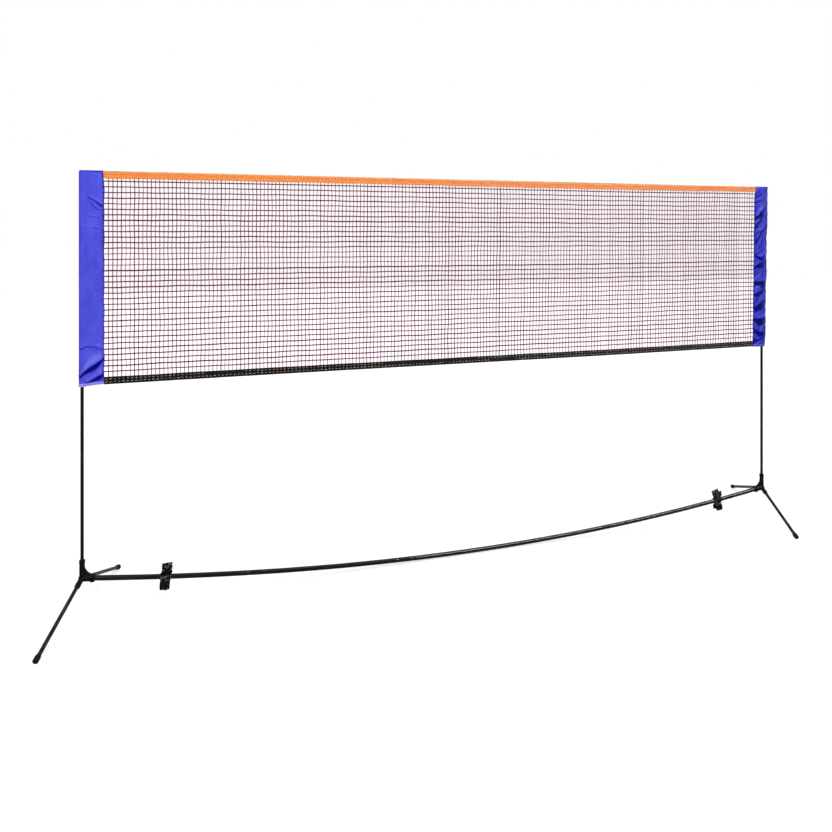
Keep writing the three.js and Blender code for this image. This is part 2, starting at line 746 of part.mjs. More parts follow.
const netSet = new THREE.Group();
netSet.add(makeBasePole());
netSet.add(makeCorner("left", 0, LEFT_SLEEVE_OVERHANG, LEFT_FOLD_TOP_SHARE, shared));
netSet.add(makeCorner("right", Math.PI, RIGHT_SLEEVE_OVERHANG, RIGHT_FOLD_TOP_SHARE, shared));
const clipGeometry = makeClipGeometry();
netSet.add(makeClip("left", -HALF_SPACING + LEFT_CLIP_OFFSET, clipGeometry));
netSet.add(makeClip("right", HALF_SPACING - RIGHT_CLIP_OFFSET, clipGeometry));
netSet.add(makeMesh("top_tape", makeTopTapeGeometry(), "orangeCloth"));
netSet.add(makeMesh("bottom_tape", makeBottomTapeGeometry(), "darkCloth"));
netSet.add(makeMesh("top_cord", makeTopCordGeometry(), "darkCloth"));
netSet.add(makeMesh("net_mesh", makeNetGeometry(), "maroonYarn"));

export default netSet;
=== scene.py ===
# Free-standing badminton net set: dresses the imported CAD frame.
# Metres; +X along the net, +Y away from the viewer, +Z up, floor at Z = 0.
import math

import bmesh
import bpy
import numpy as np
from mathutils import Matrix, Quaternion, Vector


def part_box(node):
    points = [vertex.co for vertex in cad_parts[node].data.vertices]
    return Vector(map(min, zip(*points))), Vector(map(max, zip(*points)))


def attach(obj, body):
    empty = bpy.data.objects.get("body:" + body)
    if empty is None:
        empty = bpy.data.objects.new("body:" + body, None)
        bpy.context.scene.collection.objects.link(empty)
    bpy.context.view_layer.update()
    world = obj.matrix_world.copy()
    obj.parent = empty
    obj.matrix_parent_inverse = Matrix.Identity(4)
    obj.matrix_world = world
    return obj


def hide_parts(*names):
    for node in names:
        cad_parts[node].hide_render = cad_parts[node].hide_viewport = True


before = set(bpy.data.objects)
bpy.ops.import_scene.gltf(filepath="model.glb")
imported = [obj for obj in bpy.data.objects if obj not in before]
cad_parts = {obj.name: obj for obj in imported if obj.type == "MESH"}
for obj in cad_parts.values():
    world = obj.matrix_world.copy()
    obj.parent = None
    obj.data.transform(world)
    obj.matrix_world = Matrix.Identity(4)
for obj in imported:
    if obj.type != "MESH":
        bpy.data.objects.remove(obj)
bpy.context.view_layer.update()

random = np.random.default_rng(11)

# Main places, as in the CAD
HALF_SPACING = 1.48
TOP_HEIGHT = 1.55
NET_BOTTOM = 0.787
NET_DEPTH = TOP_HEIGHT - NET_BOTTOM
JUNCTION_HEIGHT = 0.1143
POLE_SAG = 0.1022
LEG_REACH = 0.309
LEG_TURN = math.radians(17)
FOOT_AXIS_HEIGHT = 0.0065
CLEARANCE = 0.0003

# The photo's camera
CAMERA_PLACE = (-1.0911, -2.7016, 1.3282)
CAMERA_YAW = 0.3021
FRAME_PIXELS = 832
FOCAL_PIXELS = 700
HORIZON_PIXEL = 233.045


# Geometry helpers

def unit(vector):
    vector = np.asarray(vector, float)
    return vector / np.linalg.norm(vector)


def ramp(value, start, end):
    """0 up to start and 1 from end on, which may be the smaller of the two."""
    return np.clip((value - start) / (end - start), 0, 1)


def pole_height(x):
    return JUNCTION_HEIGHT - POLE_SAG * (1 - (x / HALF_SPACING) ** 2)


def pole_direction(x):
    return unit((1, 0, 2 * POLE_SAG * x / HALF_SPACING ** 2))


def pole_axis(x):
    """Centre of the base pole at x, with two directions across it."""
    across = np.array((0.0, 1.0, 0.0))
    return np.array((x, 0, pole_height(x))), across, np.cross(pole_direction(x), across)


def straight_axis(origin, direction):
    direction = unit(direction)
    helper = (0, 1, 0) if abs(direction[2]) > 0.9 else (0, 0, 1)
    across = unit(np.cross(helper, direction))
    other = np.cross(direction, across)
    return lambda place: (np.asarray(origin) + place * direction, across, other)


def revolved(rings, axis, sides, closed=False):
    """Rings of (place along the axis, radius) joined into a surface."""
    angles = 2 * np.pi * np.arange(sides) / sides
    points, rows = [], []
    for place, radius in rings:
        centre, across, other = axis(place)
        start = len(points)
        if radius < 1e-7:
            rows.append([start])
            points.append(centre)
            continue
        rows.append(list(range(start, start + sides)))
        circle = np.outer(np.cos(angles), across) + np.outer(np.sin(angles), other)
        points.extend(centre + radius * circle)
    pairs = list(zip(rows, rows[1:])) + ([(rows[-1], rows[0])] if closed else [])
    faces = []
    for low, high in pairs:
        for i in range(sides):
            j = (i + 1) % sides
            if len(low) == 1:
                faces.append((low[0], high[j], high[i]))
            elif len(high) == 1:
                faces.append((low[i], low[j], high[0]))
            else:
                faces.append((low[i], low[j], high[j], high[i]))
    return np.array(points), faces


def band_faces(loops, size):
    """Faces between closed loops of equal size, each joined to the next."""
    return [(k * size + i, k * size + j, (k + 1) * size + j, (k + 1) * size + i)
            for k in range(loops - 1) for i, j in zip(range(size), [*range(1, size), 0])]


def plate(outline, thickness, basis, origin):
    """A flat plate: its outline is in the first and third direction of the basis."""
    points = []
    for side in (-1, 1):
        for along, up in outline:
            points.append(origin + along * basis[0] + side * thickness / 2 * basis[1] + up * basis[2])
    count = len(outline)
    faces = [tuple(range(count)), tuple(range(2 * count - 1, count - 1, -1))]
    for i in range(count):
        j = (i + 1) % count
        faces.append((i, i + count, j + count, j))
    return np.array(points), faces


def joined(shapes):
    points, faces, start = [], [], 0
    for shape_points, shape_faces in shapes:
        points.append(shape_points)
        faces.extend(tuple(start + i for i in face) for face in shape_faces)
        start += len(shape_points)
    return np.vstack(points), faces


def make_mesh(name, points, faces, outward=True):
    mesh = bpy.data.meshes.new(name)
    mesh.from_pydata(np.asarray(points).tolist(), [], [list(map(int, face)) for face in faces])
    if outward:
        work = bmesh.new()
        work.from_mesh(mesh)
        bmesh.ops.recalc_face_normals(work, faces=work.faces)
        work.to_mesh(mesh)
        work.free()
    return mesh


def set_values(mesh, attribute, values):
    """A named number for each point of a mesh, for its material."""
    layer = mesh.attributes.new(attribute, "FLOAT", "POINT")
    layer.data.foreach_set("value", np.ascontiguousarray(values, dtype=np.float32).ravel())


def add_object(name, mesh):
    obj = bpy.data.objects.new(name, mesh)
    bpy.context.scene.collection.objects.link(obj)
    return obj


def shaped(obj):
    """The mesh of an object with its modifiers applied."""
    bpy.context.view_layer.update()
    graph = bpy.context.evaluated_depsgraph_get()
    return bpy.data.meshes.new_from_object(obj.evaluated_get(graph))


def discard(obj):
    mesh = obj.data
    bpy.data.objects.remove(obj)
    bpy.data.meshes.remove(mesh)


def add_piece(name, mesh, material, body, nodes=(), crease=32):
    """A finished piece that rides on a body and stands for CAD nodes."""
    mesh.name = name
    mesh.materials.clear()
    mesh.materials.append(material)
    mesh.shade_smooth()
    mesh.set_sharp_from_angle(angle=math.radians(crease))
    obj = add_object(name, mesh)
    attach(obj, body)
    if nodes:
        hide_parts(*nodes)
    return obj


def bored(mesh, cutters):
    """The mesh with each closed cutter taken out of it, one after the other."""
    body = add_object("bored_body", mesh)
    tools = []
    for points, faces in cutters:
        cutter = add_object("cutter", make_mesh("cutter", points, faces))
        boolean = body.modifiers.new("bore", "BOOLEAN")
        boolean.operation = "DIFFERENCE"
        boolean.solver = "MANIFOLD"
        boolean.object = cutter
        tools.append(cutter)
    result = shaped(body)
    for obj in [body, *tools]:
        discard(obj)
    return result


def moulded(solids, voxel, kept, soften):
    """A moulded body: closed solids melted into one another, softened and thinned out."""
    obj = add_object("mould", make_mesh("mould", *joined(solids)))
    melt = obj.modifiers.new("melt", "REMESH")
    melt.mode = "VOXEL"
    melt.voxel_size = voxel
    smooth = obj.modifiers.new("soften", "SMOOTH")
    smooth.factor = 0.5
    smooth.iterations = soften
    obj.modifiers.new("thin", "DECIMATE").ratio = kept
    mesh = shaped(obj)
    discard(obj)
    return mesh


# Materials. Sizes in them are metres on the object.

def rgb(red, green, blue):
    """A colour as it shows on a screen, 0 to 255, turned into Blender's linear one."""
    def linear(value):
        value /= 255
        return value / 12.92 if value <= 0.04045 else ((value + 0.055) / 1.055) ** 2.4
    return (linear(red), linear(green), linear(blue), 1.0)


class Nodes:
    """Shader nodes that are added to a tree in small steps."""

    def __init__(self, tree):
        self.tree = tree

    def add(self, kind, inputs=(), **settings):
        node = self.tree.nodes.new(kind)
        for key, value in settings.items():
            setattr(node, key, value)
        for key, value in dict(inputs).items():
            if isinstance(value, bpy.types.NodeSocket):
                self.tree.links.new(value, node.inputs[key])
            else:
                node.inputs[key].default_value = value
        return node

    def span(self, value, low, high, to_low=0.0, to_high=1.0):
        keys = ("Value", "From Min", "From Max", "To Min", "To Max")
        node = self.add("ShaderNodeMapRange", dict(zip(keys, (value, low, high, to_low, to_high))))
        return node.outputs["Result"]

    def maths(self, operation, first, second):
        return self.add("ShaderNodeMath", {0: first, 1: second}, operation=operation).outputs[0]

    def seen_directly(self):
        """1 for camera, glossy and transmission rays, 0 for the rays that light the object."""
        path = self.add("ShaderNodeLightPath").outputs
        seen = self.maths("MAXIMUM", path["Is Camera Ray"], path["Is Glossy Ray"])
        return self.maths("MAXIMUM", seen, path["Is Transmission Ray"])


class Finish(Nodes):
    """A material that is built from small procedural steps."""

    def __init__(self, name, **values):
        self.material = bpy.data.materials.new(name)
        self.material.use_nodes = True
        super().__init__(self.material.node_tree)
        self.shader = self.tree.nodes["Principled BSDF"]
        for key, value in values.items():
            self.shader.inputs[key.replace("_", " ")].default_value = value
        self.place = self.add("ShaderNodeTexCoord").outputs["Object"]

    def height(self):
        return self.add("ShaderNodeSeparateXYZ", {0: self.place}).outputs["Z"]

    def noise(self, size, detail=3.0, stretch=(1, 1, 1), rough=0.5):
        """Noise whose features are about size metres across."""
        scaled = self.add("ShaderNodeVectorMath", {0: self.place, 1: stretch}, operation="MULTIPLY")
        inputs = {"Vector": scaled.outputs[0], "Scale": 1 / size, "Detail": detail, "Roughness": rough}
        return self.add("ShaderNodeTexNoise", inputs).outputs["Fac"]

    def spots(self, low, high, size, *noise, **more_noise):
        """Noise of which only the part between low and high shows, spread over 0 to 1."""
        return self.span(self.noise(size, *noise, **more_noise), low, high)

    def gloss(self, low, high, size, detail=3.0):
        """A roughness that wanders from low to high."""
        return self.span(self.noise(size, detail), 0.3, 0.7, low, high)

    def waves(self, period, direction, warp=0.0):
        inputs = {"Vector": self.place, "Scale": 2 * math.pi / (20 * period), "Distortion": warp}
        inputs["Detail Scale"] = 1.0
        node = self.add("ShaderNodeTexWave", inputs, wave_type="BANDS", bands_direction=direction)
        return node.outputs["Fac"]

    def mix(self, share, first, second, strength=1.0):
        if strength != 1:
            share = self.maths("MULTIPLY", share, strength)
        node = self.add("ShaderNodeMix", {0: share, 6: first, 7: second}, data_type="RGBA")
        return node.outputs[2]

    def attribute(self, name):
        return self.add("ShaderNodeAttribute", attribute_name=name).outputs["Fac"]

    def bump(self, height, distance, strength=1.0, under=None):
        inputs = {"Height": height, "Distance": distance, "Strength": strength}
        if under is not None:
            inputs["Normal"] = under
        return self.add("ShaderNodeBump", inputs).outputs["Normal"]

    def done(self, color, roughness, normal):
        for key, value in (("Base Color", color), ("Roughness", roughness), ("Normal", normal)):
            self.tree.links.new(value, self.shader.inputs[key])
        return self.material


def tube_paint(name, dark, worn, roughness, shine=0.06, peel_height=0.000012):
    """Thin gloss paint on steel tube: runs, faint orange peel and dull rub marks."""
    finish = Finish(name, Specular_IOR_Level=shine)
    color = finish.mix(finish.spots(0.35, 0.7, 0.045, 4.0), dark, worn)
    rubs = finish.spots(0.56, 0.74, 0.006, 5.0, (0.12, 1, 1), 0.65)
    color = finish.mix(rubs, color, rgb(74, 73, 64), 0.3)
    peel = finish.bump(finish.noise(0.0016, 2.0), peel_height)
    return finish.done(color, finish.gloss(roughness, roughness + 0.05, 0.012), peel)


def moulded_plastic(name, dark, pale, highlight_bands=()):
    """Matt black moulding with a fine spark grain and pale scuffs all over; given highlight bands, the scuffs
    stay faint except within them, where they are a painted highlight.
    """
    finish = Finish(name, Specular_IOR_Level=0.018)
    scuffs_and_highlight = finish.spots(0.48, 0.62, 0.008, 4.0, rough=0.6)
    # Painted highlight: the pale scuffs show fully only within the bands.
    if highlight_bands:
        height = finish.height()
        share, fade = 0.12, 0.004
        for low, high in highlight_bands:
            above = finish.span(height, low, low + fade)
            band = finish.maths("MULTIPLY", above, finish.span(height, high, high - fade))
            share = finish.maths("MAXIMUM", band, share)
        scuffs_and_highlight = finish.maths("MULTIPLY", scuffs_and_highlight, share)
    grain = finish.bump(finish.noise(0.0009, 3.0), 0.00014, 0.8)
    flow = finish.bump(finish.noise(0.012, 2.0), 0.0006, 0.5, under=grain)
    return finish.done(finish.mix(scuffs_and_highlight, dark, pale), finish.gloss(0.38, 0.56, 0.004), flow)


def foot_rubber():
    finish = Finish("foot_rubber", Specular_IOR_Level=0.05)
    dust = finish.spots(0.48, 0.8, 0.011, 5.0, rough=0.6)
    color = finish.mix(dust, rgb(8, 8, 7), rgb(34, 33, 29))
    return finish.done(color, finish.gloss(0.62, 0.85, 0.003), finish.bump(finish.noise(0.0011), 0.0002))


def bright_steel():
    finish = Finish("spigot_steel", Metallic=1.0)
    drawn = finish.noise(0.0008, 4.0, (0.03, 1, 1))
    color = finish.mix(finish.span(drawn, 0.3, 0.7), rgb(150, 150, 148), rgb(190, 190, 187))
    return finish.done(color, finish.gloss(0.26, 0.42, 0.01), finish.bump(drawn, 0.00003))


def tip_plastic():
    finish = Finish("tip_plastic")
    color = finish.mix(finish.noise(0.004), rgb(24, 24, 23), rgb(46, 46, 44))
    return finish.done(color, finish.gloss(0.4, 0.6, 0.002), finish.bump(finish.noise(0.0008), 0.0001))


def satin_cloth():
    """Blue satin weave: long floats across, soft tone changes, faint pressing marks, painted shade in the
    folds.
    """
    finish = Finish("sleeve_satin", Specular_IOR_Level=0.11, Specular_Tint=rgb(96, 96, 255),
                    Sheen_Weight=0.03, Sheen_Roughness=0.45, Sheen_Tint=rgb(205, 205, 255))
    cloudy = finish.spots(0.3, 0.72, 0.055, 4.0, (1.6, 1, 0.7))
    color = finish.mix(cloudy, rgb(66, 68, 206), rgb(84, 88, 222))
    across = finish.waves(0.0009, "Z", 0.6)
    along = finish.waves(0.0013, "X", 0.6)
    threads = finish.maths("MULTIPLY", across, finish.span(along, 0, 1, 0.55, 1))
    color = finish.mix(finish.span(threads, 0, 1, 0.16, 0), color, rgb(40, 34, 168))
    color = finish.mix(finish.spots(0.42, 0.7, 0.0016, 2.0, (0.16, 1, 1)), color, rgb(150, 152, 240), 0.14)
    # Painted shade in the folds and along the stitched and top edges, from the crease attribute, towards the
    # dark of the unlit weave; where it is below zero, a painted highlight on the ridges and the double hem.
    crease = finish.attribute("crease")
    uneven = finish.span(finish.noise(0.006), 0.3, 0.7, 0.94, 1.0)
    color = finish.mix(finish.maths("MULTIPLY", finish.span(crease, 0, 1), uneven), color, rgb(0, 0, 146))
    # Deeper painted shade in the folds of crumpled cloth.
    color = finish.mix(finish.span(crease, 1.0, 1.5), color, rgb(0, 4, 84))
    color = finish.mix(finish.span(crease, 0, -1), color, rgb(180, 176, 255))
    weave = finish.bump(threads, 0.00016, 0.7)
    crumple = finish.bump(finish.noise(0.011, 4.0, (1, 1, 1.4)), 0.0011, 0.5, under=weave)
    return finish.done(color, finish.gloss(0.4, 0.54, 0.02), crumple)


def tape_cloth():
    """Orange plain-woven tape, a little darker where it turns over the cord."""
    finish = Finish("top_tape_cloth", Specular_IOR_Level=0.12, Sheen_Weight=0.06, Sheen_Roughness=0.5)
    color = finish.mix(finish.spots(0.35, 0.75, 0.06, 4.0), rgb(246, 146, 72), rgb(240, 140, 68))
    threads = finish.maths("MULTIPLY", finish.waves(0.001, "X", 0.4), finish.waves(0.0009, "Z", 0.4))
    color = finish.mix(finish.span(threads, 0, 1, 0.16, 0), color, rgb(196, 98, 40))
    turned = finish.span(finish.height(), TOP_HEIGHT - 0.0035, TOP_HEIGHT - 0.001, 0, 0.5)
    color = finish.mix(turned, color, rgb(176, 92, 52))
    weave = finish.bump(threads, 0.00018, 0.8)
    pucker = finish.bump(finish.noise(0.007), 0.0007, 0.5, under=weave)
    return finish.done(color, finish.gloss(0.62, 0.8, 0.01), pucker)


def webbing():
    """Dark olive webbing with a coarse lengthwise rib."""
    finish = Finish("bottom_tape_cloth", Specular_IOR_Level=0.05, Sheen_Weight=0.03, Sheen_Roughness=0.5)
    color = finish.mix(finish.spots(0.4, 0.75, 0.05, 4.0, (0.6, 1, 1)), rgb(14, 14, 6), rgb(38, 36, 26))
    color = finish.mix(finish.spots(0.52, 0.7, 0.13, 2.0, (0.6, 1, 1)), color, rgb(66, 34, 34), 0.4)
    ribs = finish.maths("MULTIPLY", finish.waves(0.0016, "Z", 0.5), finish.waves(0.0012, "X", 0.5))
    color = finish.mix(finish.span(ribs, 0, 1, 0.5, 0), color, rgb(15, 15, 10))
    return finish.done(color, finish.gloss(0.68, 0.86, 0.006), finish.bump(ribs, 0.0003, 0.9))


def yarn(name, dark, pale, toned=False):
    """Twisted yarn: its plies show as a fine diagonal, some lengths are paler."""
    finish = Finish(name, Specular_IOR_Level=0.06)
    share = finish.spots(0.35, 0.7, 0.02)
    if toned:
        share = finish.maths("MULTIPLY", share, finish.attribute("tone"))
    fibres = finish.bump(finish.waves(0.0011, "DIAGONAL", 1.5), 0.0002, 0.8)
    return finish.done(finish.mix(share, dark, pale), finish.gloss(0.6, 0.8, 0.004), fibres)


def sewing_thread(name, dark, pale):
    finish = Finish(name, Specular_IOR_Level=0.15)
    color = finish.mix(finish.spots(0.35, 0.7, 0.01, 4.0), dark, pale)
    twist = finish.bump(finish.waves(0.0006, "DIAGONAL", 1.0), 0.0001, 0.7)
    return finish.done(color, finish.gloss(0.5, 0.7, 0.003), twist)


def cord_fibre():
    finish = Finish("cord_fibre")
    braid = finish.maths("MULTIPLY", finish.waves(0.0016, "DIAGONAL"), finish.waves(0.0016, "X"))
    color = finish.mix(braid, rgb(60, 58, 50), rgb(150, 146, 132))
    return finish.done(color, finish.gloss(0.6, 0.8, 0.004), finish.bump(braid, 0.0002))


# Heights at which the clips' pale speckle shows fully: real scuffs, strengthened there into a painted
# highlight
CLIP_HIGHLIGHT_BANDS = ((0.030, 0.044), (0.062, 0.087), (0.097, 0.140))

TUBE_BLACK = tube_paint("pole_paint", rgb(6, 6, 5), rgb(17, 16, 13), 0.04, 0.08, 0.000005)
POST_BLACK = tube_paint("post_paint", rgb(7, 6, 5), rgb(22, 20, 16), 0.22)
# The legs' paint is a lighter olive black than the posts': partly its own olive tint, partly a painted
# reflection of the bright surroundings.
LEG_BLACK = tube_paint("leg_paint", rgb(17, 17, 9), rgb(44, 42, 26), 0.26)
BRACKET_BLACK = moulded_plastic("bracket_plastic", rgb(9, 9, 7), rgb(34, 34, 28))
CLIP_BLACK = moulded_plastic("clip_plastic", rgb(4, 4, 3), rgb(106, 106, 97), CLIP_HIGHLIGHT_BANDS)
RUBBER = foot_rubber()
STEEL = bright_steel()
SATIN = satin_cloth()
ORANGE = tape_cloth()
OLIVE = webbing()
ROW_YARN = yarn("net_yarn_rows", rgb(88, 0, 48), rgb(128, 10, 82), toned=True)
UPRIGHT_YARN = yarn("net_yarn_uprights", rgb(122, 8, 78), rgb(184, 66, 140), toned=True)
KNOT_YARN = yarn("net_yarn_knots", rgb(74, 0, 38), rgb(108, 14, 66))
NAVY_THREAD = sewing_thread("sleeve_thread", rgb(12, 6, 66), rgb(34, 28, 104))
HEM_THREAD = sewing_thread("hem_thread", rgb(140, 142, 236), rgb(176, 178, 246))
ORANGE_THREAD = sewing_thread("tape_thread", rgb(214, 112, 54), rgb(238, 148, 90))
PALE_THREAD = sewing_thread("webbing_thread", rgb(176, 158, 150), rgb(222, 208, 198))


# Tubes and the base pole

TUBE_EDGE = 0.0004
POLE_RADIUS = 0.009
POLE_WALL = 0.0009
POLE_END = HALF_SPACING - 0.014
POLE_SECTIONS = 5

# Rolled grooves near the joints: how far from the tube's end, half width and depth.
POLE_GROOVE = (0.030, 0.0016, 0.00045)
POST_GROOVE = (0.024, 0.0014, 0.0004)
# A groove's outline in half widths and depths
GROOVE_OUTLINE = ((-1.5, 0), (-0.7, 1), (0.7, 1), (1.5, 0))


def tube_rings(start, end, radius, wall, steps, groove=None, groove_signs=()):
    """Rings of an open tube: outside from start to end, then back along the inside.

    A groove sign is 1 for a groove near the start and -1 for one near the end.
    """
    inner = radius - wall
    outside = {start + TUBE_EDGE: radius, end - TUBE_EDGE: radius}
    for place in np.linspace(start, end, steps + 1)[1:-1]:
        outside[place] = radius
    for sign in groove_signs:
        inset, half_width, depth = groove
        middle = (start if sign > 0 else end) + sign * inset
        for shift, share in GROOVE_OUTLINE:
            outside[middle + shift * half_width] = radius - share * depth
    rings = [(start, radius - TUBE_EDGE)] + sorted(outside.items()) + [(end, radius - TUBE_EDGE)]
    rings.append((end, inner + TUBE_EDGE / 2))
    for place in np.linspace(end - TUBE_EDGE, start + TUBE_EDGE, steps + 1):
        rings.append((place, inner))
    rings.append((start, inner + TUBE_EDGE / 2))
    return rings


def make_base_pole():
    section = 2 * POLE_END / POLE_SECTIONS
    for i in range(POLE_SECTIONS):
        start = -POLE_END + i * section + CLEARANCE / 2
        signs = [1] * (i > 0) + [-1] * (i < POLE_SECTIONS - 1)
        rings = tube_rings(start, start + section - CLEARANCE, POLE_RADIUS, POLE_WALL, 30, POLE_GROOVE, signs)
        mesh = make_mesh("tube", *revolved(rings, pole_axis, 56, closed=True))
        add_piece(f"pole_tube_{i + 1}", mesh, TUBE_BLACK, "base", [f"base_pole_{i + 1}"])


# Corner brackets, drawn at the left junction and turned half round for the right

POLE_DIRECTION = pole_direction(-HALF_SPACING)
LEG_DROP = JUNCTION_HEIGHT - FOOT_AXIS_HEIGHT
LEG_LENGTH = math.hypot(LEG_REACH, LEG_DROP)

# The sockets' outsides, and the bores through them with their flared mouths
POST_SOCKET = {"low": -0.010, "high": 0.064, "radius": 0.00975, "lip_radius": 0.0101, "lip_length": 0.010,
               "edge": 0.002}
POLE_SOCKET = {"low": -0.009, "high": 0.043, "radius": 0.0120, "lip_radius": 0.0136, "lip_length": 0.008,
               "edge": 0.0022}
LEG_SOCKET = {"low": 0, "high": 0.042, "radius": 0.0097, "lip_radius": 0.0097, "lip_length": 0.015,
              "edge": 0.0028}
POST_BORE = {"low": 0.0137, "mouth": 0.064, "radius": 0.00605, "flare": 0.0011}
POLE_BORE = {"low": 0.0137, "mouth": 0.043, "radius": 0.0093, "flare": 0.0011}
LEG_BORE = {"low": 0.0147, "mouth": 0.042, "radius": 0.0068, "flare": 0.0008}
SOCKET_DRAFT = 0.0007
SOCKET_LIP_SLOPE = 0.003
BORE_OVERRUN = 0.004

WEB_THICKNESS = 0.008
WEB_REACH = 0.040
WEB_RISE = 0.043
WEB_TOP_HALF = 0.0075
WEB_PULL = (0.0125, 0.0145)
HUB_RADIUS = 0.0125
# The rounded boss under the mouth of the pole's socket: its place along the pole, and its rings.
BOSS_PLACE = 0.032
BOSS_RINGS = [(0, 0), (0, 0.0052), (0.0134, 0.0052), (0.0150, 0.0040), (0.0154, 0)]


def leg_direction(side):
    """side is -1 for the leg towards -Y of an unturned corner, 1 for the other."""
    run = LEG_REACH / LEG_LENGTH
    across = (side * math.sin(LEG_TURN) * run, side * math.cos(LEG_TURN) * run)
    return unit((*across, -LEG_DROP / LEG_LENGTH))


def socket_rings(low, high, radius, lip_radius, lip_length, edge):
    """A socket's outside: a tapered barrel with a rounded lip at its mouth."""
    lip = high - lip_length
    return [
        (low, 0), (low, radius - edge), (low + edge, radius), (lip - SOCKET_LIP_SLOPE, radius - SOCKET_DRAFT),
        (lip, lip_radius), (high - edge, lip_radius), (high - edge * 0.3, lip_radius - edge * 0.3),
        (high, lip_radius - edge), (high, 0),
    ]


def bore_rings(low, mouth, radius, flare):
    wide, out = radius + flare * 1.2, mouth + BORE_OVERRUN
    rings = [(low, 0), (low, radius), (mouth - flare, radius), (mouth + flare * 0.2, wide)]
    return rings + [(out, wide), (out, 0)]


def web_outline():
    """The web between the post's and the pole's sockets, hollowed towards the corner."""
    outline = [(0, 0), (WEB_REACH, 0), (WEB_REACH, POLE_SOCKET["radius"] + WEB_REACH * POLE_DIRECTION[2])]
    start, pull, end = np.array(outline[-1]), np.array(WEB_PULL), np.array((WEB_TOP_HALF, WEB_RISE))
    for share in np.linspace(0, 1, 12)[1:]:
        outline.append(tuple((1 - share) ** 2 * start + 2 * share * (1 - share) * pull + share ** 2 * end))
    outline.append((0, WEB_RISE))
    return outline


def make_bracket_mesh():
    sides, bore_sides = 40, 48
    origin = np.zeros(3)
    upright = straight_axis(origin, (0, 0, 1))
    along_pole = straight_axis(origin, POLE_DIRECTION)
    hub = [(-HUB_RADIUS * math.cos(a), HUB_RADIUS * math.sin(a)) for a in np.linspace(0, np.pi, 16)]
    down = np.cross(POLE_DIRECTION, (0, -1, 0))
    solids = [
        revolved(socket_rings(**POST_SOCKET), upright, sides),
        revolved(socket_rings(**POLE_SOCKET), along_pole, sides),
        plate(web_outline(), WEB_THICKNESS, np.eye(3), origin),
        revolved(hub, upright, sides),
        revolved(BOSS_RINGS, straight_axis(POLE_DIRECTION * BOSS_PLACE, down), sides),
    ]
    cutters = [
        revolved(bore_rings(**POST_BORE), upright, bore_sides),
        revolved(bore_rings(**POLE_BORE), along_pole, bore_sides),
    ]
    for side in (-1, 1):
        axis = straight_axis(origin, leg_direction(side))
        solids.append(revolved(socket_rings(**LEG_SOCKET), axis, sides))
        cutters.append(revolved(bore_rings(**LEG_BORE), axis, bore_sides))
    return bored(moulded(solids, voxel=0.0006, kept=0.35, soften=6), cutters)


def moved(mesh, matrix):
    copy = mesh.copy()
    copy.transform(matrix)
    return copy


# Posts, legs and foot caps

POST_RADIUS = 0.00575
POST_WALL = 0.001
LEG_RADIUS = 0.0065
LEG_WALL = 0.001
LEG_STOP = 0.015
FOOT_LENGTH = 0.024
FOOT_SOLE = 0.006
FOOT_RADIUS = 0.00925
FOOT_COLLAR_RADIUS = 0.00825
FOOT_HOLE_RADIUS = 0.0068
FOOT_DOME = 0.0036
FOOT_DOME_END_RADIUS = 0.0038
FOOT_GROOVE_DEPTH = 0.0005
FOOT_GROOVES = (0.0105, 0.0145)


def foot_rings():
    """A short round cap: a thin collar, a full rim above, two fine grooves and a domed sole."""
    start, end = LEG_LENGTH - FOOT_LENGTH, LEG_LENGTH
    outside = [
        (0, FOOT_COLLAR_RADIUS - 0.0006), (0.0007, FOOT_COLLAR_RADIUS), (0.0034, FOOT_COLLAR_RADIUS),
        (0.0043, FOOT_RADIUS - FOOT_GROOVE_DEPTH), (0.0054, FOOT_RADIUS),
    ]
    for groove in FOOT_GROOVES:
        for shift, share in ((-0.0009, 0), (-0.0004, 1), (0.0004, 1), (0.0009, 0)):
            outside.append((groove + shift, FOOT_RADIUS - share * FOOT_GROOVE_DEPTH))
    rings = [(end - FOOT_SOLE, 0), (end - FOOT_SOLE, FOOT_HOLE_RADIUS)]
    rings += [(start + 0.0006, FOOT_HOLE_RADIUS), (start, FOOT_HOLE_RADIUS + 0.0004)]
    rings += [(start + place, radius) for place, radius in outside]
    for angle in np.linspace(0, np.pi / 2, 7)[:-1]:
        place, inset = FOOT_DOME * (1 - math.sin(angle)), FOOT_DOME * (1 - math.cos(angle))
        rings.append((end - place, FOOT_RADIUS - inset))
    return rings + [(end, FOOT_DOME_END_RADIUS), (end, 0)]


def stood_on_floor(mesh):
    """Cuts the cap off flat where it meets the floor."""
    work = bmesh.new()
    work.from_mesh(mesh)
    geometry = work.verts[:] + work.edges[:] + work.faces[:]
    cut = bmesh.ops.bisect_plane(work, geom=geometry, plane_co=(0, 0, 0), plane_no=(0, 0, -1),
                                 clear_outer=True)
    edges = [item for item in cut["geom_cut"] if isinstance(item, bmesh.types.BMEdge)]
    bmesh.ops.contextual_create(work, geom=edges)
    bmesh.ops.recalc_face_normals(work, faces=work.faces)
    work.to_mesh(mesh)
    work.free()
    return mesh


def make_post(name, x):
    axis = straight_axis((x, 0, 0), (0, 0, 1))
    for part, groove_sign in (("lower", -1), ("upper", 1)):
        low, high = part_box(f"post_{part}_{name}")
        rings = tube_rings(low[2], high[2], POST_RADIUS, POST_WALL, 20, POST_GROOVE, [groove_sign])
        mesh = make_mesh("post", *revolved(rings, axis, 48, closed=True))
        add_piece(f"post_tube_{part}_{name}", mesh, POST_BLACK, f"post_{name}",
                  [f"post_{part}_{name}"])


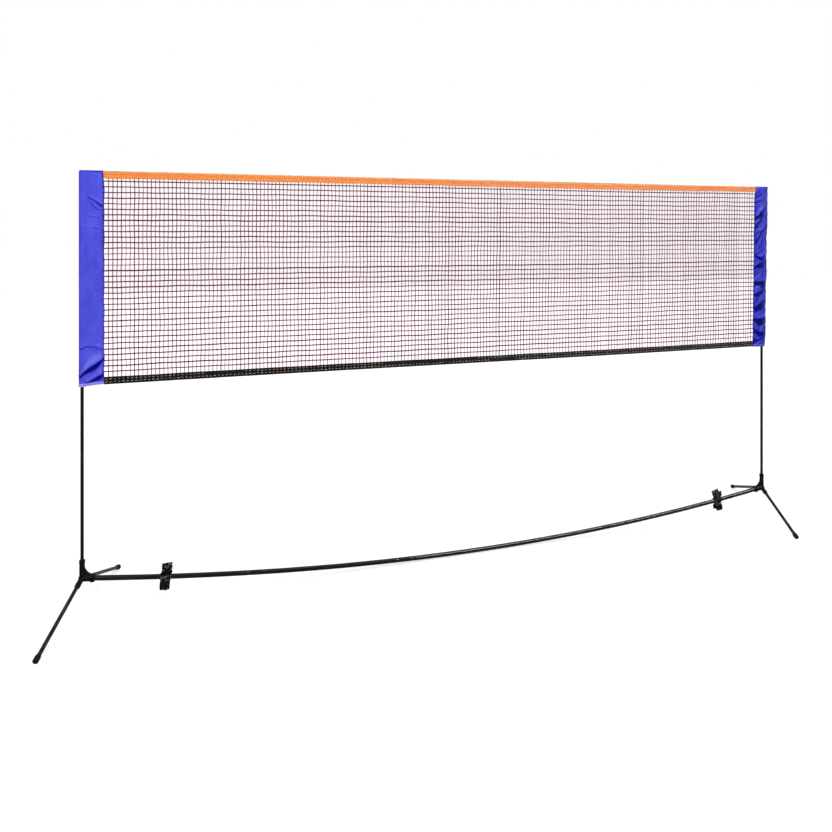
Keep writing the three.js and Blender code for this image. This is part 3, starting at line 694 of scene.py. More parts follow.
def make_corners():
    bracket = make_bracket_mesh()
    for name, heading in (("left", 0.0), ("right", math.pi)):
        x = -math.cos(heading) * HALF_SPACING
        matrix = Matrix.Translation((x, 0, JUNCTION_HEIGHT)) @ Matrix.Rotation(heading, 4, "Z")
        add_piece(f"bracket_{name}", moved(bracket, matrix), BRACKET_BLACK, "base",
                  [f"corner_bracket_{name}"])
        for side in (-1, 1):
            place = "front" if side * math.cos(heading) < 0 else "rear"
            axis = straight_axis(np.zeros(3), leg_direction(side))
            rings = tube_rings(LEG_STOP, LEG_LENGTH - FOOT_SOLE - CLEARANCE, LEG_RADIUS, LEG_WALL, 24)
            leg = make_mesh("leg", *revolved(rings, axis, 48, closed=True))
            cap = make_mesh("cap", *revolved(foot_rings(), axis, 48))
            body = f"leg_{place}_{name}"
            add_piece(f"leg_tube_{place}_{name}", moved(leg, matrix), LEG_BLACK, body, [body])
            add_piece(f"foot_{place}_{name}", stood_on_floor(moved(cap, matrix)), RUBBER, body,
                      [f"foot_cap_{place}_{name}"])
        make_post(name, x)


# Storage clips. Heights are from the pole's axis, places are along the pole.

CLIP_PLACES = {"left": -1.202, "right": 1.224}
CLIP_PITCH = 0.027
CLIP_HOLE_RADIUS = 0.0094
CLIP_HOOP_RADIUS = 0.0120
CLIP_NECK_WIDTH = 0.009
CLIP_OVERRUN = 0.060

# Round parts: height, radius, start and end. The three hoops are set a little off one another.
CLIP_HOOPS = [
    (0, CLIP_HOOP_RADIUS, -0.0205, 0.0175),
    (CLIP_PITCH, CLIP_HOOP_RADIUS, -0.0168, 0.0192),
    (-CLIP_PITCH, CLIP_HOOP_RADIUS, -0.0186, 0.0166),
]
CLIP_STUDS = [(0.0165, 0.0042, 0.0166, 0.0208), (-0.0085, 0.0036, -0.0216, -0.0190)]
# Blocks: length, width, lowest and highest, and for some their shift along and across.
CLIP_NECKS = [(0.036, CLIP_NECK_WIDTH, 0.0103, 0.0167), (0.034, CLIP_NECK_WIDTH, -0.0167, -0.0103)]
CLIP_CUTS = [
    # The open ends, and the slit behind the middle hoop
    (CLIP_OVERRUN, 0.012, CLIP_PITCH, CLIP_OVERRUN), (CLIP_OVERRUN, 0.012, -CLIP_OVERRUN, -CLIP_PITCH),
    (CLIP_OVERRUN, 0.012, -0.0013, 0.0013, 0, 0.0125),
    # A notch in the upper lips and a step in the lower ones
    (0.0050, CLIP_OVERRUN, 0.0418, CLIP_OVERRUN, -0.0085),
    (0.0100, CLIP_OVERRUN, -CLIP_OVERRUN, -0.0412, 0.0150),
]
# Lips: direction, how far each end spreads, how uneven its edge is, and its length.
CLIP_LIPS = [(1, 0.0052, 0.0042, 0.036), (-1, 0.0050, 0.0020, 0.034)]
LIP_LOW, LIP_HIGH = 0.0325, 0.0440
LIP_INNER, LIP_OUTER, LIP_EDGE_WIDTH = 0.0060, 0.0097, 0.0026
# Shallow sunk pockets on the faces of the hoops: height, place and radius.
CLIP_POCKETS = [
    (0.0290, -0.0090, 0.0024), (0.0315, 0.0005, 0.0030), (0.0262, 0.0085, 0.0026), (0.0222, -0.0020, 0.0024),
    (0.0035, -0.0120, 0.0024), (-0.0045, -0.0030, 0.0026), (-0.0030, 0.0085, 0.0030),
    (-0.0245, -0.0080, 0.0028), (-0.0300, 0.0035, 0.0026), (-0.0228, 0.0105, 0.0022),
]
POCKET_MOUTH = 0.0140


def clip_lip(side, basis, centre, direction, spread, unevenness, length):
    """One lip of an open end: a slanted plate whose free edge is uneven, as in the photo."""
    inner = ((LIP_INNER, LIP_LOW), (LIP_INNER + spread, LIP_HIGH))
    outer = ((LIP_INNER + spread + LIP_EDGE_WIDTH, LIP_HIGH), (LIP_OUTER, LIP_LOW))
    outline = [(side * a, direction * b) for a, b in (*inner, *outer)]
    if side * direction < 0:
        outline.reverse()
    points, faces = plate(outline, length, (basis[1], basis[0], basis[2]), centre)
    tilt = (points - centre) @ basis[0] / length
    reach = ramp((points - centre) @ basis[2] * direction, LIP_LOW, LIP_HIGH)
    return points + np.outer(direction * tilt * reach * unevenness, basis[2]), faces


def make_clip(name):
    centre, across, upward = pole_axis(CLIP_PLACES[name])
    along = np.cross(across, upward)
    basis = (along, across, upward)

    def barrel(height, radius, start, end, edge=0.0012):
        rings = [(start, 0), (start, radius - edge), (start + edge, radius), (end - edge, radius)]
        rings += [(end, radius - edge), (end, 0)]
        return revolved(rings, straight_axis(centre + upward * height, along), 44)

    def block(length, width, low, high, shift=0.0, aside=0.0):
        start, end = shift - length / 2, shift + length / 2
        outline = [(start, low), (end, low), (end, high), (start, high)]
        return plate(outline, width, basis, centre + across * aside)

    solids = [barrel(*sizes) for sizes in CLIP_HOOPS] + [block(*sizes) for sizes in CLIP_NECKS]
    solids += [barrel(*sizes) for sizes in CLIP_STUDS]
    solids += [clip_lip(side, basis, centre, *sizes) for side in (-1, 1) for sizes in CLIP_LIPS]
    cutters = [barrel(height, CLIP_HOLE_RADIUS, -0.030, 0.030) for height in (0, CLIP_PITCH, -CLIP_PITCH)]
    cutters += [block(*sizes) for sizes in CLIP_CUTS]
    for height, shift, radius in CLIP_POCKETS:
        for face in (-1, 1):
            # The slit behind the middle hoop leaves no room for a pocket.
            if face > 0 and abs(height) < radius + 0.002:
                continue
            mouth = centre + upward * height + along * shift + across * face * POCKET_MOUTH
            dimple = [(0, 0), (0, radius), (0.0030, radius - 0.0004), (0.0036, radius * 0.5), (0.0037, 0)]
            cutters.append(revolved(dimple, straight_axis(mouth, -face * across), 20))
    mesh = bored(moulded(solids, voxel=0.00055, kept=0.3, soften=4), cutters)
    add_piece(f"clip_{name}_moulding", mesh, CLIP_BLACK, f"clip_{name}",
              [f"storage_clip_{name}"])


# Side sleeves. Their folds are drawn along lines that are read off the photo in pixels.

def on_plane(px, py, y):
    """(x, z) where the line of sight through a pixel's middle meets the plane at y."""
    slope = (px + 0.5 - FRAME_PIXELS / 2) / FOCAL_PIXELS
    cosine, sine = math.cos(CAMERA_YAW), math.sin(CAMERA_YAW)
    reach = y - CAMERA_PLACE[1]
    across = reach * (sine + slope * cosine) / (cosine - slope * sine)
    depth = sine * across + cosine * reach
    height = CAMERA_PLACE[2] - (py + 0.5 - HORIZON_PIXEL) / FOCAL_PIXELS * depth
    return CAMERA_PLACE[0] + across, height


# Each fold: the pixels along the upper edge of its shaded underside, how tall that is at its
# tallest, where along it that is, how far the fold stands out, and how deep its shade is.
LEFT_FOLDS = [
    (((88.6, 196.6), (94.0, 199.8), (102.6, 204.8)), 0.012, 0.8, 0.0030, 0.80),
    (((89.6, 200.4), (94.0, 205.4), (98.0, 209.0)), 0.010, 0.5, 0.0018, 0.45),
    (((88.0, 215.0), (97.0, 217.0)), 0.005, 0.5, 0.0010, 0.20),
    (((84.0, 226.6), (103.0, 227.6)), 0.005, 0.7, 0.0010, 0.16),
    (((79.6, 348.4), (84.5, 346.0)), 0.009, 0.4, 0.0024, 0.75),
    (((84.0, 345.4), (95.0, 345.6), (103.6, 347.4)), 0.014, 0.8, 0.0018, 0.30),
    (((79.5, 376.5), (83.7, 371.2), (88.8, 366.9), (95.0, 363.0), (100.0, 359.8), (103.4, 357.4)),
     0.031, 0.58, 0.0085, 1.0),
    (((86.0, 381.8), (90.5, 379.8), (95.5, 376.6), (100.0, 374.2), (103.8, 372.8)), 0.024, 0.72, 0.0050, 1.0),
]
RIGHT_FOLDS = [
    (((754.4, 217.6), (759.3, 211.8), (763.0, 207.2), (766.6, 202.4)), 0.030, 0.45, 0.0050, 1.0),
    (((754.2, 226.4), (757.6, 221.4), (761.4, 214.4)), 0.026, 0.4, 0.0040, 0.85),
    (((754.2, 241.4), (757.4, 235.4), (760.4, 229.4), (766.6, 222.4)), 0.026, 0.3, 0.0040, 0.75),
    (((754.0, 254.0), (759.5, 256.0), (766.4, 251.4)), 0.024, 0.5, 0.0040, 0.60),
    (((753.8, 266.4), (758.5, 263.0), (765.8, 259.4)), 0.030, 0.6, 0.0050, 0.95),
    (((753.6, 281.6), (759.0, 280.4), (765.6, 280.0)), 0.036, 0.6, 0.0045, 1.0),
    (((753.6, 294.2), (758.0, 290.4), (765.4, 285.2)), 0.026, 0.4, 0.0050, 0.95),
    (((753.4, 307.4), (759.0, 301.6), (765.4, 297.4)), 0.038, 0.5, 0.0050, 1.0),
    (((753.2, 317.6), (758.4, 317.8), (765.0, 317.4)), 0.038, 0.5, 0.0045, 1.0),
    (((753.0, 327.6), (758.2, 331.0), (764.6, 331.6)), 0.030, 0.5, 0.0040, 0.80),
    (((752.8, 337.4), (757.6, 338.8)), 0.022, 0.3, 0.0020, 0.60),
]
DEEPEST_FOLD = 0.0085
FOLD_END_FADE = 0.006
FOLD_FACE_Y = -0.004

# The leans are how far each edge hangs away from the CAD's, at the bottom and at the top. The hem
# rises towards the net, the cloth is wavy and, where crumpled, darker all over with painted shade, and the
# inner edge is drawn in near the top.
LEFT_INNER_LEANS = (0.0016, 0.0013)
RIGHT_INNER_LEANS = (0.0008, 0.0130)
SLEEVES = {
    "left": {"side": -1, "folds": LEFT_FOLDS, "outer_leans": (0.0036, 0.0042),
             "inner_leans": LEFT_INNER_LEANS, "hem_rise": 0.0050, "waviness": 0.0006,
             "crumple_and_shade": 0.0, "drawn": 0.0030, "drawn_from": 0.93},
    "right": {"side": 1, "folds": RIGHT_FOLDS, "outer_leans": (-0.0080, 0.0085),
              "inner_leans": RIGHT_INNER_LEANS, "hem_rise": 0.0010, "waviness": 0.0014,
              "crumple_and_shade": 0.62, "drawn": 0.0040, "drawn_from": 0.86},
}
SLEEVE_ROWS, SLEEVE_COLUMNS, SLEEVE_EDGE_POINTS = 430, 38, 5
SLEEVE_CLOTH = 0.0007
SLEEVE_HALF = 0.0011
SLEEVE_LEAST_GAP = 0.0019
HEM_HEIGHT = 0.0115
HEM_HALF = 0.00055
# How the cloth lies over the post: how far it stands out, the flat part and the widths beside it.
POST_RISE = 0.0063
POST_FLAT = 0.0030
POST_SLOPE_INWARD = 0.0260
POST_SLOPE_OUTWARD = (0.0050, 0.0120)
POST_DOME = (1.5410, 1.5492)


def fold_relief(x, z, folds):
    """For all folds of a sleeve: how far the cloth stands out, and how deep it lies in shade.

    A shade below zero is a painted highlight on the ridges above the folds.
    """
    relief, shade, ridge_highlight = np.zeros_like(x), np.zeros_like(x), np.zeros_like(x)
    for pixels, tall, tallest, depth, dark in folds:
        line_x, line_z = np.array(sorted(on_plane(px, py, FOLD_FACE_Y) for px, py in pixels)).T
        first, last = line_x[0], line_x[-1]
        along = ramp(x, first, last)
        swell = 0.45 + 0.55 * np.sin(np.pi * along ** (math.log(0.5) / math.log(tallest)))
        drop = tall * swell
        above = z - np.interp(x, line_x, line_z) - 0.65 * depth
        over = np.where(above >= 0, np.exp(-(np.maximum(above, 0) / (1.5 * drop)) ** 1.4), 0)
        under = np.where(above < 0, 0.5 + 0.5 * np.cos(np.pi * ramp(above, 0, -0.85 * drop)), 0)
        ends = ramp(x, first - FOLD_END_FADE, first) * ramp(x, last + FOLD_END_FADE, last)
        ends = ends * ends * (3 - 2 * ends)
        relief += depth * (over + under) * ends
        # Painted shade on each fold's underside, and a painted highlight (glow) on the cloth above it.
        inside = ramp(above, 0, -0.10 * drop) * ramp(above, -drop, -0.76 * drop)
        shade = np.maximum(shade, dark * inside * ends)
        glow = np.exp(-((above - 0.45 * drop) / (0.5 * drop)) ** 2) * ramp(above, 0, 0.004)
        ridge_highlight = np.maximum(ridge_highlight, min(depth / DEEPEST_FOLD, 1) * 0.22 * glow * ends * swell)
    return relief, np.where(shade > 0.02, shade, -ridge_highlight)


def sleeve_shade(shade, streak, z, across, share_up, hem_rise, crumple_and_shade):
    """The folds' painted shade, with painted shade along the stitched inner edge and the top edge, and a
    painted highlight on the double hem.
    """
    # Painted shade deepens in the fold cores, and the painted ridge highlight is stronger on crumpled cloth.
    deepest, palest = 1 + 0.7 * crumple_and_shade, 1 + 1.5 * crumple_and_shade
    shade = np.where(shade > 0, crumple_and_shade + (deepest - crumple_and_shade) * shade, crumple_and_shade + palest * shade)
    # Painted shade and painted highlight in diagonal streaks over crumpled cloth.
    shade += 0.5 * crumple_and_shade * streak
    # Painted shade in dark points along the whip-stitched inner edge, strongest near the top.
    points_from = 0.945 + 0.03 * (0.5 + 0.5 * np.sin(z * 420 + 3 * np.sin(z * 61)))
    stitched = ramp(across, points_from, points_from + 0.02)
    stitched = stitched * np.clip(0.35 + (share_up - 0.45) * 2.2, 0.3, 1)
    # Painted shade along the top edge.
    top_edge = 0.85 * ramp(z, TOP_HEIGHT - 0.0055, TOP_HEIGHT - 0.0045)
    edge_shade = np.maximum(stitched, top_edge)
    shade = np.where(edge_shade > 0, np.maximum(shade, edge_shade), shade)
    # Painted highlight on the double hem along the bottom, brightest on its rolled lower edge and along its
    # stitched line.
    over_hem = (z - NET_BOTTOM - hem_rise * across) / HEM_HEIGHT
    in_hem = ramp(over_hem, 1, 0.92)
    pale = 0.45 + 0.45 * (over_hem < 0.28) + 0.3 * (np.abs(over_hem - 0.88) < 0.12)
    return shade * (1 - in_hem) - in_hem * pale * (1 - 1.6 * crumple_and_shade)


def bag_mesh(side, x, z, front, back, sags, shade):
    """A sleeve's surface. Each row is a closed loop: front towards the net, round the edge, back again."""
    turn = np.linspace(-np.pi / 2, np.pi / 2, SLEEVE_EDGE_POINTS + 2)[1:-1]

    def edge_points(column, sign):
        middle, radius = (front + back)[:, column, None] / 2, (back - front)[:, column, None] / 2
        edge_x = x[:, column, None] - sign * side * 0.9 * radius * np.cos(turn)
        edge_y = middle + sign * radius * np.sin(turn)
        return np.stack([edge_x, edge_y, np.broadcast_to(z[:, column, None], edge_x.shape)], axis=-1)

    front_points, back_points = (np.stack([x, y, z - sag], axis=-1) for y, sag in zip((front, back), sags))
    loop = [front_points, edge_points(-1, 1), back_points[:, ::-1], edge_points(0, -1)]
    points = np.concatenate(loop, axis=1)
    size = points.shape[1]
    faces = band_faces(SLEEVE_ROWS, size)
    top = (SLEEVE_ROWS - 1) * size
    last_back = 2 * SLEEVE_COLUMNS + SLEEVE_EDGE_POINTS - 1
    for i in range(SLEEVE_COLUMNS - 1):
        faces.append((top + i, top + i + 1, top + last_back - i - 1, top + last_back - i))
    faces.append(tuple(top + k for k in range(SLEEVE_COLUMNS - 1, SLEEVE_COLUMNS + SLEEVE_EDGE_POINTS + 1)))
    faces.append(tuple([top + k for k in range(last_back, size)] + [top]))
    mesh = make_mesh("sleeve", points.reshape(-1, 3), faces)
    ends = [[column] * SLEEVE_EDGE_POINTS for column in (-1, 0)]
    shades = np.concatenate([shade, shade[:, ends[0]], shade[:, ::-1], shade[:, ends[1]]], axis=1)
    set_values(mesh, "crease", shades)
    return mesh


def make_sleeve(name, side, folds, outer_leans, inner_leans, hem_rise, waviness, crumple_and_shade, drawn, drawn_from):
    """A bag of cloth round the post: front, back, folded outer edge and stitched inner edge."""
    low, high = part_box(f"side_sleeve_{name}")
    cad_outer, cad_inner = (low[0], high[0]) if side < 0 else (high[0], low[0])
    heights = np.linspace(NET_BOTTOM, TOP_HEIGHT, SLEEVE_ROWS)[:, None]
    share_up = (heights - NET_BOTTOM) / NET_DEPTH
    across = np.linspace(0, 1, SLEEVE_COLUMNS)[None, :]
    ripple = 0.0005 * np.sin(heights * 61 + side) + 0.0004 * np.sin(heights * 137 + 2)
    drawn_in = drawn * ramp(share_up, drawn_from, 1) ** 1.5
    outer = cad_outer + np.interp(share_up, (0, 1), outer_leans) + side * ripple
    inner = cad_inner + side * drawn_in + np.interp(share_up, (0, 1), inner_leans)
    inner = inner + 0.0007 * np.sin(heights * 74 + side)
    x = outer + (inner - outer) * across
    z = heights + hem_rise * across * ramp(share_up, 1 / 8, 0) ** 2

    post_x = side * HALF_SPACING
    away = np.abs(x - post_x)
    inward = (post_x - x) * side > 0
    width = np.where(inward, POST_SLOPE_INWARD, np.clip(0.5 * np.abs(outer - post_x), *POST_SLOPE_OUTWARD))
    dome = np.sqrt(1 - ramp(z, *POST_DOME) ** 2)
    over_post = POST_RISE * np.exp(-(np.clip(away - POST_FLAT, 0, None) / width) ** 2) * dome
    edge = SLEEVE_HALF + 0.0005 * np.sin(z * 43 + 1.3) * ramp(across, 0.4, 0.9)
    edge = np.where(z > TOP_HEIGHT - 0.004, edge * 0.75, edge)
    half = edge + over_post + HEM_HALF * (z < NET_BOTTOM + 0.012)

    relief, shade = fold_relief(x, z, folds)
    # Diagonal streaks: waves in the crumpled cloth, and painted shade over it.
    streak = np.sin(150 * (z - x) + 1.6 * np.sin(47 * (z + x))) * np.sin(61 * (z - 0.6 * x) + 2.0)
    shade = sleeve_shade(shade, streak, z, across, share_up, hem_rise, crumple_and_shade)
    relief = relief * ramp(across, -0.032, 0.128)
    soft = np.sin(z * 23 + x * 60 + side) + 0.6 * np.sin(z * 51 - x * 95 + 2 * side) + 1.5 * crumple_and_shade * streak
    hold = ramp(across, 1, 0.9) * ramp(z, TOP_HEIGHT, TOP_HEIGHT - 0.02)
    loose = hold * ramp(away, 0.0065, 0.0155)
    front = -half - relief * hold + waviness * soft * loose
    back = half + waviness * soft * loose - relief * loose * 0.85
    back = front + np.maximum(back - front, SLEEVE_LEAST_GAP)
    sag = 0.45 * relief * ramp(across, 1, 0.9) * ramp(z, NET_BOTTOM, NET_BOTTOM + 0.008)
    mesh = bag_mesh(side, x, z, front, back, (sag, sag * loose), shade)
    shell = add_object("sleeve_shell", mesh)
    wall = shell.modifiers.new("cloth", "SOLIDIFY")
    wall.thickness = SLEEVE_CLOTH
    wall.offset = -1
    wall.use_even_offset = False
    cloth = shaped(shell)
    discard(shell)
    piece = add_piece(f"sleeve_{name}", cloth, SATIN, "net", [f"side_sleeve_{name}"],
                      crease=50)
    seam = add_sleeve_stitches(name, side, x, front, back, z)


# A stitch's own shape: shares of its length, and how thick it is there.
STITCH_RINGS = ((0.0, 0.35), (0.25, 0.9), (0.5, 1.0), (0.75, 0.9), (1.0, 0.35))
STITCH_SIDES = 5
WHIP_INSET_COLUMNS = 3
WHIP_REACH = 0.0012
WHIP_LIFT = 0.0011
# Whip stitches are thicker above half height.
WHIP_RADII = (0.0005, 0.0010)
HEM_STITCH_HEIGHT = 0.0105
HEM_STITCH_RADIUS = 0.0003


def stitch(start, end, lift, radius):
    """One short stitch: a bent lens of thread between two points."""
    start, end, lift = map(np.asarray, (start, end, lift))
    across = unit(np.cross(end - start, lift))
    normal = unit(lift)
    points = []
    for share, thick in STITCH_RINGS:
        centre = start + (end - start) * share + lift * (2 * share * (1 - share))
        for turn in 2 * np.pi * np.arange(STITCH_SIDES) / STITCH_SIDES:
            points.append(centre + radius * thick * (math.cos(turn) * across + math.sin(turn) * normal))
    faces = band_faces(len(STITCH_RINGS), STITCH_SIDES)
    faces.append(tuple(range(STITCH_SIDES - 1, -1, -1)))
    faces.append(tuple(range(len(points) - STITCH_SIDES, len(points))))
    return np.array(points), faces


def add_sleeve_stitches(name, side, x, front, back, z):
    """Whip stitches over the inner edge and a stitched line along the bottom hem."""
    whip, hem = [], []
    edge = SLEEVE_COLUMNS - 1
    inset = edge - WHIP_INSET_COLUMNS
    row = 3
    while row < len(z) - 4:
        slant = int(random.integers(0, 3))
        other = min(row + slant, len(z) - 1)
        middle = (front[row, edge] + back[row, edge]) / 2
        end = (x[other, edge] - side * WHIP_REACH, middle, z[other, edge])
        radius = WHIP_RADII[int(z[row, edge] > NET_BOTTOM + NET_DEPTH / 2)]
        for face, y in ((-1, front), (1, back)):
            start = (x[row, inset], y[row, inset] + face * 0.0002, z[row, inset])
            whip.append(stitch(start, end, (0, face * WHIP_LIFT, 0), radius))
        row += int(random.integers(3, 6))
    row = int(np.argmin(np.abs(z[:, 0] - (NET_BOTTOM + HEM_STITCH_HEIGHT))))
    for i in range(1, SLEEVE_COLUMNS - 3, 2):
        for face, y in ((-1, front), (1, back)):
            start, end = (np.array((x[row, k], y[row, k] + face * 0.0003, z[row, k])) for k in (i, i + 2))
            gap = 0.12 * (end - start)
            hem.append(stitch(start + gap, end - gap, (0, face * 0.0005, 0), HEM_STITCH_RADIUS))
    return [add_piece(f"sleeve_{name}_{kind}_stitches", make_mesh(kind, *joined(stitches)), thread, "net")
            for kind, stitches, thread in (("whip", whip, NAVY_THREAD), ("hem", hem, HEM_THREAD))]


# Tapes

NET_START = float(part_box("top_tape")[0][0])
NET_END = float(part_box("top_tape")[1][0])
NET_LENGTH = NET_END - NET_START
MESH_COLUMNS = 199
MESH_GAPS = 36
COLUMN_PITCH = NET_LENGTH / MESH_COLUMNS

# How far the hung borders stand off the CAD's straight ones
BORDER_PLACES = (-1.41, -1.0, -0.6, -0.2, 0.2, 0.6, 1.0, 1.25, 1.43)
TOP_BORDER_SHIFT = (-0.0030, -0.0021, -0.0022, -0.0026, -0.0034, -0.0045, -0.0033, -0.0010, -0.0012)
BOTTOM_BORDER_SHIFT = (0.0036, 0.0041, 0.0037, 0.0027, 0.0021, 0.0008, 0.0013, 0.0017, 0.0024)

TOP_TAPE_HEIGHT = 0.025
BOTTOM_TAPE_HEIGHT = 0.026
TOP_HALF_HEM = 0.0021
BOTTOM_HALF_HEM = 0.0022
TAPE_FOLD_RADIUS = 0.0028
TAPE_STEP = 0.0036
# The top tape's ends follow the sleeves' drawn-in edges over this length.
TAPE_END_DRAW = 0.0030
TAPE_END_LENGTH = 0.02

TOP_STITCH_PITCH = 0.0052
TOP_STITCH_RADIUS = 0.0003
# The stitch lines: how far each is from the fold, and the half width of the tape there.
TOP_STITCH_LINES = ((TOP_TAPE_HEIGHT - 0.0035, TOP_HALF_HEM), (0.0085, 0.0026))
# Rows of lashings on the webbing: height, length and radius. The first two uprights have long ones,
# and here and there, as shares of the net's length, the upper or lower row is missing.
UPPER_LASHING = (0.0195, 0.0060, 0.0010)
LOWER_LASHING = (0.0092, 0.0066, 0.0011)
END_LASHINGS = [(0.0190, 0.0078, 0.0013), (0.0085, 0.0090, 0.0014)]
NO_UPPER_LASHING_SHARES = ((0.36, 0.50), (0.12, 0.17))
NO_LOWER_LASHING_SHARES = ((0.52, 0.56),)


def hang_shift(x, z):
    """(x, z) offsets of the hung net and its tapes from the CAD's straight ones."""
    up = ramp(z, NET_BOTTOM, TOP_HEIGHT)
    left, right = (np.interp(up, (0, 1), leans) for leans in (LEFT_INNER_LEANS, RIGHT_INNER_LEANS))
    along = (x - NET_START) / NET_LENGTH
    rise = np.interp(x, BORDER_PLACES, BOTTOM_BORDER_SHIFT) * (1 - up)
    return left + (right - left) * along, rise + np.interp(x, BORDER_PLACES, TOP_BORDER_SHIFT) * up


def tape_profile(height, half_hem, layer):
    """Points (y, distance from the fold) of a folded tape: outside, then back inside."""
    outside, inside = [], []
    for share in np.linspace(0, 1, 15):
        down = height - (height - TAPE_FOLD_RADIUS) * share
        half = half_hem + (TAPE_FOLD_RADIUS - half_hem) * ramp(share, 0.35, 0.90) ** 1.3
        outside.append((-half, down))
    flank = outside[::-1]
    for angle in np.linspace(0, np.pi, 13)[1:-1]:
        outside.append((-TAPE_FOLD_RADIUS * math.cos(angle), TAPE_FOLD_RADIUS * (1 - math.sin(angle))))
    outside += [(-y, down) for y, down in flank]
    for y, down in outside:
        centre_down = max(down, TAPE_FOLD_RADIUS)
        length = math.hypot(y, down - centre_down)
        shrink = (length - layer) / length
        inside.append((y * shrink, centre_down + (down - centre_down) * shrink))
    return np.array(outside + inside[::-1])


def make_tape(node, material, stitches, upward, height, half_hem, layer, hem_wave):
    """A tape folded over the net's edge; upward is 1 where its fold is on top."""
    fold_z = TOP_HEIGHT if upward > 0 else NET_BOTTOM
    profile = tape_profile(height, half_hem, layer)
    side, down = profile.T
    steps = int(NET_LENGTH / TAPE_STEP)
    places = np.linspace(NET_START, NET_END, steps + 1)[:, None]
    wave_y = 0.0004 * np.sin(places * 31) + 0.0003 * np.sin(places * 87 + 1)
    between_uprights = np.abs(np.sin(np.pi * (places - NET_START) / COLUMN_PITCH))
    droop = hem_wave * (between_uprights - 0.5) + 0.0004 * np.sin(places * 23 + 2)
    pinch = 0.00028 * np.sin(2 * np.pi * places / (2 * TAPE_STEP))
    reach = down / height
    flank = ramp(reach, 0.35, 0.65)
    aside, lift = hang_shift(places, fold_z)
    points = np.empty((steps + 1, len(profile), 3))
    points[..., 0] = places + aside
    points[..., 1] = side + wave_y * (1 - flank * 0.3) + np.sign(side) * pinch * flank
    points[..., 2] = lift + fold_z - upward * (down + droop * ramp(reach, 0.5, 1))
    if upward > 0:
        first, last = NET_START + TAPE_END_LENGTH, NET_END - TAPE_END_LENGTH
        points[..., 0] -= TAPE_END_DRAW * ramp(places, first, NET_START) * (1 - reach) ** 0.7
        points[..., 0] += TAPE_END_DRAW * ramp(places, last, NET_END)
    count = len(profile)
    faces = band_faces(steps + 1, count)
    faces.append(tuple(range(count)))
    faces.append(tuple(steps * count + i for i in range(count - 1, -1, -1)))
    mesh = make_mesh(node, points.reshape(-1, 3), faces)
    piece = add_piece(f"{node}_cloth", mesh, material, "net", [node], crease=60)
    extra = stitches(lambda x: np.interp(x, places[:, 0], wave_y[:, 0]))


def top_tape_stitches(wave):
    """Two lines of machine stitching through the top tape, on both faces."""
    stitches = []
    for line, (down, half) in enumerate(TOP_STITCH_LINES):
        for i in range(int(NET_LENGTH / TOP_STITCH_PITCH)):
            start = NET_START + (i + 0.15) * TOP_STITCH_PITCH
            shift = wave(start)
            aside, lift = hang_shift(start, TOP_HEIGHT)
            start += aside
            z = lift + TOP_HEIGHT - down + 0.0002 * math.sin(i * 0.7 + line)
            for face in (-1, 1):
                y = face * (half + 0.0003) + shift * 0.8
                ends = ((start, y, z), (start + 0.7 * TOP_STITCH_PITCH, y, z))
                stitches.append(stitch(*ends, (0, face * 0.0004, 0), TOP_STITCH_RADIUS))
    mesh = make_mesh("tape_stitches", *joined(stitches), outward=False)
    return [add_piece("top_tape_stitching", mesh, ORANGE_THREAD, "net")]


def bottom_tape_stitches(wave):
    """Pale lashings that fix each upright of the net to the webbing, in two rows."""
    stitches = []
    for i in range(MESH_COLUMNS):
        start = NET_START + (i + 0.5) * COLUMN_PITCH
        shift = wave(start)
        aside, lift = hang_shift(start, NET_BOTTOM)
        start += aside
        share = i / MESH_COLUMNS
        rows = []
        for row, gaps in ((UPPER_LASHING, NO_UPPER_LASHING_SHARES), (LOWER_LASHING, NO_LOWER_LASHING_SHARES)):
            if not any(low < share < high for low, high in gaps):
                rows.append(row)
        for up, length, radius in END_LASHINGS if i < 2 else rows:
            length *= 1 + 0.16 * random.standard_normal()
            radius *= 1 + 0.15 * random.standard_normal()
            tilt = 0.0006 * random.standard_normal()
            z = lift + NET_BOTTOM + up + 0.0005 * random.standard_normal()
            for face in (-1, 1):
                y = face * (BOTTOM_HALF_HEM + 0.0006) + shift
                ends = ((start - length / 2, y, z - tilt), (start + length / 2, y, z + tilt))
                stitches.append(stitch(*ends, (0, face * 0.0007, 0), abs(radius) * 0.8))
    mesh = make_mesh("tape_lashings", *joined(stitches), outward=False)
    return [add_piece("bottom_tape_lashings", mesh, PALE_THREAD, "net")]


# Net

MESH_TOP = TOP_HEIGHT - TOP_TAPE_HEIGHT
MESH_BOTTOM = NET_BOTTOM + BOTTOM_TAPE_HEIGHT
FIRST_ROW = MESH_BOTTOM + 0.0198
LAST_ROW = MESH_TOP - 0.0095
UPRIGHT_RADIUS = 0.00158
ROW_RADIUS = 0.00220
KNOT_RADIUS = 0.0026
KNOT_SHAPE = (1.0, 0.85, 0.9)
ROW_SLACK = 0.0004
YARN_SIDES = 5
# How far uprights reach into the tapes and rows into the sleeves
UPRIGHT_TUCK = 0.006
ROW_TUCK = 0.004


def hung(x, z):
    """Points of the net, moved by how it hangs and by soft waves that end at its borders."""
    x, z = np.broadcast_arrays(x, z)
    hold = ramp(x, NET_START, NET_START + 0.05) * ramp(x, NET_END, NET_END - 0.05)
    hold = hold * ramp(z, MESH_BOTTOM, MESH_BOTTOM + 0.04) * ramp(z, MESH_TOP, MESH_TOP - 0.04)
    dx = 0.0007 * np.sin(x * 17 + z * 29) + 0.0005 * np.sin(x * 61 - z * 43)
    dz = 0.0008 * np.sin(x * 13 + 1.1) * np.sin(z * 21) + 0.0006 * np.sin(x * 37 + z * 55 + 0.4)
    dy = 0.0022 * np.sin(x * 3.1 + z * 7.3 + 0.6) + 0.0009 * np.sin(x * 19 - z * 24)
    aside, lift = hang_shift(x, z)
    return np.stack([x + aside + dx * hold, dy * hold, z + lift + dz * hold], axis=-1)


